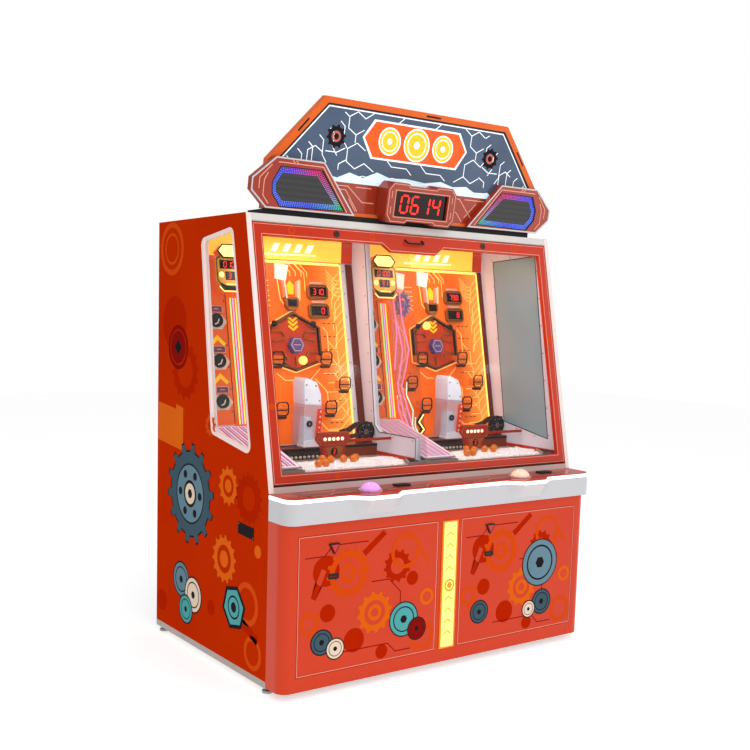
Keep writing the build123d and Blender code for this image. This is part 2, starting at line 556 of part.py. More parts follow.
# Glass door: printed frame whose top rail dips in the middle, hinged along its bottom edge
OPEN_HALF = 757.0
OPEN_LOW = 72.0
OPEN_HIGH = 1020.0
DIP_TOP = 166.0
DIP_BOTTOM = 125.0
DIP_S = 990.0
REBATE = 12.0
REBATE_DEEP = 10.0
LOCK_RADIUS = 9.0
door_opening = [
    (-OPEN_HALF, OPEN_LOW), (OPEN_HALF, OPEN_LOW), (OPEN_HALF, OPEN_HIGH), (DIP_TOP, OPEN_HIGH),
    (DIP_BOTTOM, DIP_S), (-DIP_BOTTOM, DIP_S), (-DIP_TOP, OPEN_HIGH), (-OPEN_HALF, OPEN_HIGH),
]
glass_x = (-OPEN_HALF - REBATE, OPEN_HALF + REBATE)
glass_s = (OPEN_LOW - REBATE, OPEN_HIGH + REBATE)
with BuildPart() as glass_door_frame:
    back_face = FACE.offset(-DOOR_THICK)
    prism(back_face, box_points((-DOOR_HALF, DOOR_HALF), (DOOR_BOTTOM, DOOR_TOP)), DOOR_THICK)
    bottom_edges = glass_door_frame.edges().filter_by(Axis.X).sort_by(Axis.Z)[:2]
    fillet(bottom_edges, 12)
    prism(back_face, door_opening, DOOR_THICK, 0.0, Mode.SUBTRACT)
    prism(back_face, box_points(glass_x, glass_s), REBATE_DEEP, 0.0, Mode.SUBTRACT)
    for sign in (-1, 1):
        start = -DOOR_HALF if sign < 0 else DOOR_HALF - 31
        rod((start, hinge_y, hinge_z), (1, 0, 0), HINGE_PIN + RUNNING, 31, Mode.SUBTRACT)
        y, z = face_to_world(LOCK_S, -DOOR_THICK)
        rod((sign * LOCK_X, y, z), FACE.z_dir, LOCK_RADIUS + RUNNING, DOOR_THICK, Mode.SUBTRACT)
save(glass_door_frame, "glass_door_frame")

with BuildPart() as glass_door_pane:
    prism(FACE.offset(-DOOR_THICK + REBATE_DEEP - 6), box_points(glass_x, glass_s), 6.0)
save(glass_door_pane, "glass_door_pane")

# Handle: a bent wire bow on the door's top rail
HANDLE_HALF = 46.0
HANDLE_S = 1046.0
HANDLE_DROP = 22.0
HANDLE_WIRE = 4.0
HANDLE_BEND = 9.0
with BuildPart() as glass_door_handle:
    reach = HANDLE_DROP + 4
    with BuildLine(Plane(origin=FACE.from_local_coords((0, HANDLE_S, 0)), x_dir=(1, 0, 0),
                         z_dir=FACE.y_dir + FACE.z_dir)) as bow:
        FilletPolyline((-HANDLE_HALF, 0), (-HANDLE_HALF, -reach), (HANDLE_HALF, -reach), (HANDLE_HALF, 0),
                       radius=HANDLE_BEND)
    with BuildSketch(Plane(origin=bow.line @ 0, z_dir=bow.line % 0)):
        Circle(HANDLE_WIRE)
    sweep()
    split(bisect_by=FACE, keep=Keep.TOP)
save(glass_door_handle, "glass_door_handle")

# Door locks: barrels that turn a short tongue behind the frame
TONGUE = 22.0
for name, sign in (("left", -1), ("right", 1)):
    with BuildPart() as door_lock:
        y, z = face_to_world(LOCK_S, -DOOR_THICK - 5)
        rod((sign * LOCK_X, y, z), FACE.z_dir, LOCK_RADIUS, DOOR_THICK + 5 + 1)
        y, z = face_to_world(LOCK_S, 1)
        rod((sign * LOCK_X, y, z), FACE.z_dir, LOCK_RADIUS + 4, 4)
        tongue = box_points((sign * LOCK_X - 6, sign * LOCK_X + TONGUE), (LOCK_S - 6, LOCK_S + 6))
        prism(FACE.offset(-DOOR_THICK - 5), tongue, 3.5)
    save(door_lock, f"door_lock_{name}")

# Playfield backs: glowing printed boards that lean back behind each bed
with BuildPart() as playfield_backs:
    for low, high in (BAY_LEFT, BAY_RIGHT):
        prism(Plane.YZ.offset(low), [
            (field_y(FIELD_BOTTOM), FIELD_BOTTOM), (field_y(FIELD_TOP), FIELD_TOP),
            (field_y(FIELD_TOP) + FIELD_BOARD, FIELD_TOP),
            (field_y(FIELD_BOTTOM) + FIELD_BOARD, FIELD_BOTTOM)], high - low)
save(playfield_backs, "playfield_backs")

# Feature columns: narrow boards on the left of each playfield with a shield-shaped display
COLUMN_WIDE = 176.0
DIAL_BOARD_WIDE = 100.0
COLUMN_BOARD = 10.0
COLUMN_BOTTOM = 1015.0
SHIELD_SHIFT = 100.0
SHIELD_PROUD = 80.0
CROWN_PROUD = 90.0
with BuildPart() as feature_columns:
    for low, high in (BAY_LEFT, BAY_RIGHT):
        board = box_points((low, low + DIAL_BOARD_WIDE), (up_field(COLUMN_BOTTOM), up_field(FIELD_TOP) - 6))
        prism(FIELD_FRONT, board, COLUMN_BOARD)
        x = low + SHIELD_SHIFT
        shield = [
            (-44, 1568), (44, 1568), (74, 1612), (74, 1708),
            (52, 1722), (-52, 1722), (-74, 1708), (-74, 1612)]
        prism(FIELD_FRONT, [(x + dx, up_field(z)) for dx, z in shield], SHIELD_PROUD)
        crown = [(-40, 1714), (40, 1714), (64, 1741), (40, 1768), (-40, 1768), (-64, 1741)]
        prism(FIELD_FRONT.offset(SHIELD_PROUD - 30), [(x + dx, up_field(z) - 6) for dx, z in crown],
              CROWN_PROUD - SHIELD_PROUD + 30)
save(feature_columns, "feature_columns")

# Lane fences: clear acrylic walls between each feature column's return ramp and the target field
FENCE = 4.0
RAMP_FRONT = (-318.0, 884.0)
RAMP_BACK = (field_y(1002.0) - 0.5, 1008.0)
RAMP_BOARD = 6.0
with BuildPart() as lane_fences:
    for low in (BAY_LEFT[0], BAY_RIGHT[0]):
        prism(Plane.YZ.offset(low + COLUMN_WIDE + 1.0), [
            (field_y(1625) - 2, 1625), (140, 1625), (114, 1491), (51, 1345), (69, 1257), (97, 1166),
            (48, 1068), (-25, 933), (-110, 884), (-110, 870), (-6, 870), (-6, FIELD_BOTTOM + 14),
            (field_y(FIELD_BOTTOM + 14) - 2, FIELD_BOTTOM + 14)], FENCE)
save(lane_fences, "lane_fences")

# Ball cups: small baskets standing off the playfield around its target
CUP_SPOTS = (
    (-116.0, 1277.0), (136.0, 1277.0), (-192.0, 1163.0), (226.0, 1163.0), (-116.0, 1057.0), (140.0, 1057.0))
CUP_HALF = 25.0
CUP_TALL = 34.0
CUP_DEEP = 46.0
CUP_WALL = 3.0
with BuildPart() as ball_cups:
    for centre in FIELD_CENTRES:
        for dx, z in CUP_SPOTS:
            x = centre + dx
            front = field_y(z) - CUP_DEEP
            block((x - CUP_HALF, x + CUP_HALF), (front, field_y(z + CUP_TALL)), (z, z + CUP_TALL))
            block((x - CUP_HALF + CUP_WALL, x + CUP_HALF - CUP_WALL),
                  (front + CUP_WALL, field_y(z) - CUP_WALL), (z + CUP_WALL, z + CUP_TALL), Mode.SUBTRACT)
    split(bisect_by=FIELD_FRONT, keep=Keep.TOP)
save(ball_cups, "ball_cups")

# Dispenser towers: housings on each playfield that drop balls onto the pusher
TOWER_SHIFT = -12.0
TOWER_HALF = 48.0
TOWER_FRONT = -14.0
with BuildPart() as dispenser_towers:
    for centre in FIELD_CENTRES:
        x = centre + TOWER_SHIFT
        outline = [
            (x - TOWER_HALF, 922), (x + TOWER_HALF, 922), (x + TOWER_HALF, 1090), (x + 42, 1146),
            (x + 22, 1200), (x - 36, 1222), (x - 46, 1200), (x - 44, 1140), (x - TOWER_HALF, 1112)]
        back = field_y(1220)
        prism(Plane.XZ.offset(-back), outline, back - TOWER_FRONT)
    split(bisect_by=FIELD_FRONT, keep=Keep.TOP)
save(dispenser_towers, "dispenser_towers")

# Signs: a lit banner over each playfield, and a prize plate and display held out over each bed
BANNER_Y = 246.0
SIGN_Y = -118.0
SIGN_SHIFT = 28.0
with BuildPart() as field_signs:
    for (low, high), centre in zip((BAY_LEFT, BAY_RIGHT), FIELD_CENTRES):
        prism(Plane.YZ.offset(low), [
            (BANNER_Y, FIELD_TOP), (BANNER_Y, LINER_TOP), (BANNER_Y + 8, LINER_TOP),
            (BANNER_Y + 8, FIELD_TOP + 8),
            (field_y(FIELD_TOP) + FIELD_BOARD, FIELD_TOP + 8), (field_y(FIELD_TOP) + FIELD_BOARD, FIELD_TOP)],
            high - low)
        x = centre + SIGN_SHIFT
        plate = [(x - 66, 934), (x + 66, 934), (x + 90, 960), (x + 78, 992), (x - 78, 992), (x - 90, 960)]
        prism(Plane.XZ.offset(-SIGN_Y - 12), plate, 14.0)
        unit = [(x - 44, 884), (x + 44, 884), (x + 58, 934), (x - 58, 934)]
        prism(Plane.XZ.offset(-SIGN_Y - 24), unit, 30.0)
        block((x + 40, high), (SIGN_Y + 12, SIGN_Y + 22), (944, 956))
save(field_signs, "field_signs")

# Lift wheels: spoked wheels that turn beside each pusher to raise the balls
LIFT_SHIFT = 300.0
LIFT_Y = 32.0
LIFT_Z = 968.0
LIFT_RADIUS = 46.0
LIFT_WIDE = 12.0
LIFT_AXLE = 5.0
SPOKES = 6
for name, centre in zip(("left", "right"), FIELD_CENTRES):
    x = centre + LIFT_SHIFT
    with BuildPart() as lift_wheel:
        rod((x, LIFT_Y, LIFT_Z), (0, -1, 0), LIFT_RADIUS, LIFT_WIDE)
        rod((x, LIFT_Y, LIFT_Z), (0, -1, 0), LIFT_RADIUS - 7, LIFT_WIDE, Mode.SUBTRACT)
        rod((x, LIFT_Y, LIFT_Z), (0, -1, 0), 12, LIFT_WIDE + 3)
        for turn in range(SPOKES // 2):
            with Locations(Location((x, LIFT_Y - LIFT_WIDE / 2, LIFT_Z), (0, turn * 180 / (SPOKES // 2), 0))):
                Box(2 * LIFT_RADIUS - 8, LIFT_WIDE - 4, 7)
        rod((x, LIFT_Y, LIFT_Z), (0, -1, 0), LIFT_AXLE + RUNNING, LIFT_WIDE + 3, Mode.SUBTRACT)
    save(lift_wheel, f"lift_wheel_{name}")

# Beds: the fixed floors that coins are pushed along, with corner guides and the return ramps
BED_FRONT = -326.0
BED_BACK = 500.0
GUIDE_TALL = 12.0
with BuildPart() as coin_beds:
    for low, high in (BAY_LEFT, BAY_RIGHT):
        block((low, high), (BED_FRONT, BED_BACK), (BED_TOP - BED_BOARD, BED_TOP))
        corner = [(low, BED_FRONT), (low + 186, BED_FRONT), (low + 60, -150), (low, -150)]
        prism(Plane.XY.offset(BED_TOP), corner, GUIDE_TALL)
        corner = [(high, BED_FRONT), (high - 70, BED_FRONT), (high, -210)]
        prism(Plane.XY.offset(BED_TOP), corner, GUIDE_TALL)
        prism(Plane.YZ.offset(low), [
            RAMP_FRONT, RAMP_BACK, (RAMP_BACK[0], RAMP_BACK[1] - RAMP_BOARD),
            (RAMP_FRONT[0], RAMP_FRONT[1] - RAMP_BOARD)], COLUMN_WIDE)
save(coin_beds, "coin_beds")

# Pushers: sliding shelves driven from behind by a rod
SIDE_CLEAR = 1.0
for name, centre in zip(("left", "right"), FIELD_CENTRES):
    with BuildPart() as pusher:
        block((centre - PUSHER_HALF, centre + PUSHER_HALF), (0, PUSHER_BACK), (BED_TOP + 1, PUSHER_TOP))
        rod((centre, PUSHER_BACK, 886), (0, 1, 0), PUSHER_ROD, 140)
    save(pusher, f"pusher_{name}")

# Pusher surrounds: the fixed decks beside each pusher, with the lift wheels' axles
GUIDE_TOP = 915.0
with BuildPart() as pusher_surrounds:
    for (low, high), centre in zip((BAY_LEFT, BAY_RIGHT), FIELD_CENTRES):
        block((low, centre - PUSHER_HALF - SIDE_CLEAR), (2, PUSHER_BACK), (BED_TOP, GUIDE_TOP))
        block((centre + PUSHER_HALF + SIDE_CLEAR, high), (2, PUSHER_BACK), (BED_TOP, GUIDE_TOP))
        x = centre + LIFT_SHIFT
        block((x - 46, x + 44), (LIFT_Y + 1, LIFT_Y + 7), (GUIDE_TOP, 1010))
        rod((x, LIFT_Y + 1, LIFT_Z), (0, -1, 0), LIFT_AXLE, LIFT_WIDE + 6)
save(pusher_surrounds, "pusher_surrounds")

# Pusher drives: linear actuators that take the pusher rods
with BuildPart() as pusher_drives:
    for centre in FIELD_CENTRES:
        block((centre - 60, centre + 60), (332, 470), (BED_TOP, 940))
        rod((centre, 332, 886), (0, 1, 0), PUSHER_ROD + RUNNING, 138, Mode.SUBTRACT)
        block((centre - 70, centre + 70), (470, BED_BACK), (BED_TOP, 932))
save(pusher_drives, "pusher_drives")

# Play pieces: the layer of white chips lying on each bed, with orange prize balls on top
CHIP_LAYER = 5.0
BALL = 17.0
BALL_SPOTS = ((-140, -262), (-104, -262), (-48, -150), (-26, -182), (40, -180), (82, -196), (112, -168))
with BuildPart() as play_pieces:
    for (low, high), centre in zip((BAY_LEFT, BAY_RIGHT), FIELD_CENTRES):
        prism(Plane.XY.offset(BED_TOP), [
            (low + 190, BED_FRONT + 4), (high - 74, BED_FRONT + 4), (high - 4, -204), (high - 4, -76),
            (low + 66, -76), (low + 66, -148)], CHIP_LAYER)
        for dx, y in BALL_SPOTS:
            with Locations((centre + dx, y, BED_TOP + CHIP_LAYER + BALL)):
                Sphere(BALL)
save(play_pieces, "play_pieces")

# Marquee: an edge frame with a printed face, and a smaller housing on a black plinth behind
PLINTH_TOP = 1912.0
PLINTH_BACK = -16.0
MARQUEE_DEEP = 34.0
HOUSING_DEEP = 110.0
HOUSING_WALL = 8.0
marquee_outline = [(-735, -8), (735, -8), (735, 190), (493, 463), (-493, 463), (-735, 190)]
face_outline = [(-703, 14), (703, 14), (703, 178), (479, 435), (-479, 435), (-703, 178)]
housing_outline = [(-600, -30), (600, -30), (600, 150), (420, 400), (-420, 400), (-600, 150)]
with BuildPart() as marquee_frame:
    prism(SIGN.offset(-MARQUEE_DEEP), marquee_outline, MARQUEE_DEEP)
    prism(SIGN.offset(-MARQUEE_DEEP), face_outline, MARQUEE_DEEP, 0.0, Mode.SUBTRACT)
    split(bisect_by=Plane.XY.offset(PLINTH_TOP), keep=Keep.TOP)
save(marquee_frame, "marquee_frame")

with BuildPart() as marquee_face:
    prism(SIGN.offset(-10), face_outline, 6.0)
save(marquee_face, "marquee_face")

with BuildPart() as marquee_housing:
    prism(SIGN.offset(-MARQUEE_DEEP - HOUSING_DEEP), housing_outline, HOUSING_DEEP)
    prism(SIGN.offset(-MARQUEE_DEEP - HOUSING_DEEP + HOUSING_WALL), grown(housing_outline, -HOUSING_WALL),
          HOUSING_DEEP - HOUSING_WALL, 0.0, Mode.SUBTRACT)
    split(bisect_by=Plane.XY.offset(PLINTH_TOP), keep=Keep.TOP)
    block((-720, 720), (-165, PLINTH_BACK), (CABINET_TOP, PLINTH_TOP))
save(marquee_housing, "marquee_housing")

# Speaker pods: six-sided boxes at the marquee's lower corners, with their grilles and drivers
POD_PROUD = 28.0
pod_outline = [(-314, 2), (-486, 205), (-712, 205), (-813, 115), (-813, 66), (-742, 2)]
grille_outline = [(-365, 18), (-490, 170), (-688, 168), (-720, 106), (-716, 60), (-676, 12)]
with BuildPart() as speaker_pods:
    for outline, mouth in ((pod_outline, grille_outline), (mirrored(pod_outline), mirrored(grille_outline))):
        prism(SIGN, outline, POD_PROUD)
        prism(SIGN, mouth, POD_PROUD, 0.0, Mode.SUBTRACT)
save(speaker_pods, "speaker_pods")

with BuildPart() as speakers:
    for mouth in (grille_outline, mirrored(grille_outline)):
        prism(SIGN.offset(POD_PROUD - 12), mouth, 4.0)
    with BuildSketch(SIGN) as baskets:
        with Locations((-548, 92), (548, 92)):
            Circle(58)
    extrude(baskets.sketch, amount=POD_PROUD - 14)
save(speakers, "speakers")

# Score display: a deep chamfered box in the middle of the marquee with a dark lens
DISPLAY_PROUD = 75.0
display_outline = [
    (-188, 22), (-162, -8), (-82, -8), (-70, 2), (70, 2), (82, -8), (162, -8), (188, 22),
    (188, 132), (162, 162), (82, 162), (70, 152), (-70, 152), (-82, 162), (-162, 162), (-188, 132)]
display_window = box_points((-143, 143), (22, 126))
with BuildPart() as score_display:
    prism(SIGN, display_outline, DISPLAY_PROUD)
    prism(SIGN.offset(DISPLAY_PROUD - 16), display_window, 16.0, 6.0, Mode.SUBTRACT)
save(score_display, "score_display")

with BuildPart() as score_lens:
    prism(SIGN.offset(DISPLAY_PROUD - 16), display_window, 5.0, 6.0)
save(score_lens, "score_lens")

# Ticket dispensers: a feeder on a box of folded tickets behind each outlet
with BuildPart() as ticket_dispensers:
    for x in (-409.5 + LAMP_OFFSET, 409.5 + LAMP_OFFSET):
        block((x - 40, x + 40), (-330, -180), (400, 540))
        block((x - 46, x + 46), (-360, -150), (TRAY_TOP, 400))
save(ticket_dispensers, "ticket_dispensers")

# Token bins: open troughs under the front edge of each bed
with BuildPart() as token_bins:
    for low, high in (BAY_LEFT, BAY_RIGHT):
        block((low + 30, high - 30), (-364, -200), (700, BED_TOP - BED_BOARD))
        block((low + 34, high - 34), (-360, -204), (704, BED_TOP - BED_BOARD), Mode.SUBTRACT)
save(token_bins, "token_bins")

# Electronics: the power supply on the tray, the game board on the back panel and the mains inlet
BACK_INNER = BACK_Y - REAR_BOARD
with BuildPart() as electronics:
    block((-640, -480), (430, 560), (TRAY_TOP, TRAY_TOP + 60))
    block((420, 760), (BACK_INNER - 16, BACK_INNER), (300, 620))
    block((430, 750), (BACK_INNER - 28, BACK_INNER - 16), (310, 610))
    half_x, half_z = INLET_HALF
    block((INLET_X - half_x, INLET_X + half_x), (BACK_INNER - 12, BACK_Y),
          (INLET_Z - half_z, INLET_Z + half_z))
    block((INLET_X - half_x + 4, INLET_X + half_x - 4), (BACK_Y - 14, BACK_Y),
          (INLET_Z - half_z + 4, INLET_Z + half_z - 4), Mode.SUBTRACT)
    for x, z in ((INLET_X - 7, INLET_Z - 2), (INLET_X, INLET_Z + 3), (INLET_X + 7, INLET_Z - 2)):
        block((x - 1.1, x + 1.1), (BACK_Y - 14, BACK_Y - 3), (z - 2.5, z + 2.5))
save(electronics, "electronics")
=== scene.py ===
from math import cos, pi, radians, sin

import bmesh
import bpy
from mathutils import Matrix, Vector


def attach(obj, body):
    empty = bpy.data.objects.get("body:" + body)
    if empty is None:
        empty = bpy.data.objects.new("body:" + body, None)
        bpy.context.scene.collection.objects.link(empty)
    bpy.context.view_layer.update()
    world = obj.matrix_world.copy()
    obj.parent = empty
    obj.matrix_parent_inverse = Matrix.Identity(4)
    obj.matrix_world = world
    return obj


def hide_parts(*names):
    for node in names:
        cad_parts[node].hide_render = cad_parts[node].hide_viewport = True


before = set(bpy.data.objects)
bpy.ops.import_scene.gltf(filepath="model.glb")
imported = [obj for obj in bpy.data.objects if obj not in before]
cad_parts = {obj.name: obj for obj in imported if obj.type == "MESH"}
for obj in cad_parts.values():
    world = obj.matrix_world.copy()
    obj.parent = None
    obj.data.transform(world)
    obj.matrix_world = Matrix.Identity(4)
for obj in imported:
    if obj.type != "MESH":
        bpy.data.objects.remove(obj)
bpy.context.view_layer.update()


# Side panels: laminated board wrapped in a glossy printed film, with a gasketed window and a
# pale moulding pressed onto the sloped front edge. The print is gears, rings and coins.
def rgb(red, green, blue):
    """A screen colour as the shader's linear colour."""
    return tuple(((c / 255 + 0.055) / 1.055) ** 2.4 for c in (red, green, blue)) + (1.0,)


handling_wear = bpy.data.node_groups.new("handling_wear", "ShaderNodeTree")
for socket_name, way in (("Patch Scale", "INPUT"), ("Grain Scale", "INPUT"), ("Patches", "OUTPUT"),
        ("Grain", "OUTPUT")):
    handling_wear.interface.new_socket(socket_name, in_out=way, socket_type="NodeSocketFloat")
wear_in = handling_wear.nodes.new("NodeGroupInput")
wear_out = handling_wear.nodes.new("NodeGroupOutput")
wear_place = handling_wear.nodes.new("ShaderNodeTexCoord")
for scale_name, result_name, detail in (("Patch Scale", "Patches", 4.0), ("Grain Scale", "Grain", 2.0)):
    cloud = handling_wear.nodes.new("ShaderNodeTexNoise")
    cloud.inputs["Detail"].default_value = detail
    handling_wear.links.new(wear_place.outputs["Object"], cloud.inputs["Vector"])
    handling_wear.links.new(wear_in.outputs[scale_name], cloud.inputs["Scale"])
    handling_wear.links.new(cloud.outputs["Fac"], wear_out.inputs[result_name])


def finish(name, colour, rough=0.4, second=None, metallic=0.0, coat=0.0, glow=0.0, patch=4.0, grain=500.0,
           bump=0.05, alpha=1.0, clear=0.0):
    """A moulded, painted or printed finish: two tones in soft patches, fine grain, and a glow, which is a
    lamp's own light on lit parts and painted light on unlit ones.
    """
    material = bpy.data.materials.new(name)
    material.use_nodes = True
    nodes, links = material.node_tree.nodes, material.node_tree.links
    shader = nodes["Principled BSDF"]
    shader.inputs["Metallic"].default_value = metallic
    shader.inputs["Coat Weight"].default_value = coat
    shader.inputs["Coat Roughness"].default_value = 0.08
    shader.inputs["Specular IOR Level"].default_value = 0.2
    shader.inputs["Alpha"].default_value = alpha
    shader.inputs["Transmission Weight"].default_value = clear
    shader.inputs["Emission Strength"].default_value = glow
    wear = nodes.new("ShaderNodeGroup")
    wear.node_tree = handling_wear
    wear.inputs["Patch Scale"].default_value = patch
    wear.inputs["Grain Scale"].default_value = grain
    tone = nodes.new("ShaderNodeMix")
    tone.data_type = "RGBA"
    tone.inputs[6].default_value = colour
    tone.inputs[7].default_value = second or tuple(c * 0.82 for c in colour[:3]) + (1.0,)
    links.new(wear.outputs["Patches"], tone.inputs[0])
    links.new(tone.outputs[2], shader.inputs["Base Color"])
    if glow:
        links.new(tone.outputs[2], shader.inputs["Emission Color"])
    polish = nodes.new("ShaderNodeMapRange")
    polish.inputs["To Min"].default_value = rough * 0.8
    polish.inputs["To Max"].default_value = min(1.0, rough * 1.25)
    links.new(wear.outputs["Patches"], polish.inputs["Value"])
    links.new(polish.outputs["Result"], shader.inputs["Roughness"])
    relief = nodes.new("ShaderNodeBump")
    relief.inputs["Strength"].default_value = bump
    relief.inputs["Distance"].default_value = 0.0005
    links.new(wear.outputs["Grain"], relief.inputs["Height"])
    links.new(relief.outputs["Normal"], shader.inputs["Normal"])
    return material


def give(material, *nodes):
    """Put a finish on CAD nodes."""
    for node in nodes:
        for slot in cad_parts[node].material_slots:
            slot.material = material


def board(origin, across, up):
    """A flat place to draw on: x runs across, y runs up, and z comes out of the surface."""
    across, up = Vector(across).normalized(), Vector(up).normalized()
    return Matrix.Translation(Vector(origin)) @ Matrix((across, up, across.cross(up))).transposed().to_4x4()


def add_piece(name, mesh, place, material, body):
    """Put a finished mesh in its place and fix it to a body."""
    mesh.transform(place)
    tidy = bmesh.new()
    tidy.from_mesh(mesh)
    bmesh.ops.remove_doubles(tidy, verts=tidy.verts, dist=1e-6)
    bmesh.ops.recalc_face_normals(tidy, faces=tidy.faces)
    tidy.to_mesh(mesh)
    tidy.free()
    mesh.materials.clear()
    mesh.materials.append(material)
    piece = bpy.data.objects.new(name, mesh)
    bpy.context.collection.objects.link(piece)
    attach(piece, body)
    return piece


def cut_sheet(name, place, loops, low, high, material, body="cabinet", bevel=0.0):
    """Flat outlines, with any loop inside another as a hole, given a thickness from low to high."""
    outline = bpy.data.curves.new(name, "CURVE")
    outline.dimensions = "2D"
    outline.fill_mode = "BOTH"
    outline.extrude = (high - low) / 2
    for loop in loops:
        spline = outline.splines.new("POLY")
        spline.points.add(len(loop) - 1)
        for point, (x, y) in zip(spline.points, loop):
            point.co = (x, y, 0, 1)
        spline.use_cyclic_u = True
    holder = bpy.data.objects.new(name + "_outline", outline)
    mesh = bpy.data.meshes.new_from_object(holder)
    bpy.data.objects.remove(holder)
    mesh.transform(Matrix.Translation((0, 0, (low + high) / 2)))
    piece = add_piece(name, mesh, place, material, body)
    if bevel:
        edge = piece.modifiers.new("soft_edge", "BEVEL")
        edge.width, edge.segments, edge.limit_method = bevel, 2, "ANGLE"
    return piece


def strips(name, place, runs, width, low, high, material, body="cabinet"):
    """Narrow raised lines along each run of points. A run that ends where it starts is closed."""
    build = bmesh.new()
    for run in runs:
        closed = tuple(run[0]) == tuple(run[-1])
        points = [Vector(p) for p in (run[:-1] if closed else run)]
        count = len(points)
        rings = []
        for i, point in enumerate(points):
            come = point - points[i - 1] if closed or i else points[1] - point
            go = points[(i + 1) % count] - point if closed or i < count - 1 else come
            come, go = come.normalized(), go.normalized()
            side = Vector((-(come.y + go.y), come.x + go.x)).normalized()
            reach = side * (width / 2 / max(0.4, side.dot(Vector((-come.y, come.x)))))
            corners = ((point + reach, low), (point - reach, low), (point - reach, high),
                (point + reach, high))
            rings.append([build.verts.new((p.x, p.y, z)) for p, z in corners])
        for i in range(count if closed else count - 1):
            one, two = rings[i], rings[(i + 1) % count]
            for k in range(4):
                build.faces.new((one[k], one[(k + 1) % 4], two[(k + 1) % 4], two[k]))
        if not closed:
            build.faces.new(rings[0])
            build.faces.new(rings[-1])
    mesh = bpy.data.meshes.new(name)
    build.to_mesh(mesh)
    build.free()
    return add_piece(name, mesh, place, material, body)


def disc(x, y, radius, corners=40, turn=0.0):
    """A round or many-sided outline."""
    return [(x + radius * cos(turn + 2 * pi * k / corners), y + radius * sin(turn + 2 * pi * k / corners))
            for k in range(corners)]


def discs(x, y, *radii):
    """Round outlines about one centre, each inside the one before."""
    return [disc(x, y, radius) for radius in radii]


def gear(x, y, radius, teeth, tall):
    """A gear wheel's outline."""
    outline = []
    for k in range(teeth):
        for part, r in ((0.0, radius), (0.12, radius + tall), (0.38, radius + tall), (0.5, radius),
                (0.75, radius)):
            angle = 2 * pi * (k + part) / teeth
            outline.append((x + r * cos(angle), y + r * sin(angle)))
    return outline


def shut(loop):
    """The same outline as a closed run."""
    return list(loop) + [loop[0]]


def both(points):
    """An outline that is the same on both sides of x = 0, from the points of its second half."""
    return [(-x, y) for x, y in reversed(points)] + points


def four(x0, x1, y0, y1):
    """A rectangle's outline."""
    return [(x0, y0), (x1, y0), (x1, y1), (x0, y1)]


side_red = finish("side_print_red", rgb(204, 52, 0), 0.34, rgb(186, 40, 0), coat=0.0, patch=2.0)
print_light = finish("print_light_orange", rgb(220, 78, 12), 0.3, rgb(210, 68, 8), coat=0.05)
print_gold = finish("print_gold_orange", rgb(230, 106, 14), 0.3, rgb(220, 92, 10), coat=0.05)
print_deep = finish("print_deep_red", rgb(186, 38, 2), 0.3, rgb(176, 32, 0), coat=0.0)
print_dark = finish("print_dark_red", rgb(148, 14, 4), 0.3, rgb(128, 8, 2), coat=0.05)
print_black = finish("print_black", rgb(26, 22, 26), 0.3, rgb(40, 34, 38), coat=0.05)
print_slate = finish("print_slate_blue", rgb(112, 146, 160), 0.3, rgb(92, 124, 140), coat=0.05)
print_slate_dark = finish("print_slate_dark", rgb(70, 96, 108), 0.3, rgb(58, 82, 94), coat=0.05)
print_cream = finish("print_cream", rgb(236, 218, 196), 0.3, rgb(226, 204, 180), coat=0.05)
print_teal = finish("print_teal", rgb(90, 178, 176), 0.3, rgb(70, 156, 158), coat=0.05)
print_pink = finish("print_pale_pink", rgb(240, 176, 156), 0.3, rgb(232, 160, 140), coat=0.3)
# The pale moulding's glow is painted light: the moulding holds no lamp.
moulding = finish("pale_moulding_painted_glow", rgb(238, 222, 218), 0.45, rgb(228, 210, 204), glow=0.10)
screw_steel = finish("screw_steel", rgb(176, 174, 170), 0.3, rgb(130, 128, 126), metallic=0.9, patch=60.0)
clear_pane = finish("clear_pane", rgb(70, 84, 84), 0.03, rgb(60, 72, 72), alpha=0.10, bump=0.0)
for inked in (side_red, print_light, print_gold, print_deep, print_dark, print_black, print_slate,
        print_slate_dark, print_cream, print_teal):
    inked.node_tree.nodes["Principled BSDF"].inputs["Specular IOR Level"].default_value = 0.0
give(side_red, "side_panel_left", "side_panel_right")
give(moulding, "side_trims")
give(clear_pane, "window_panes")

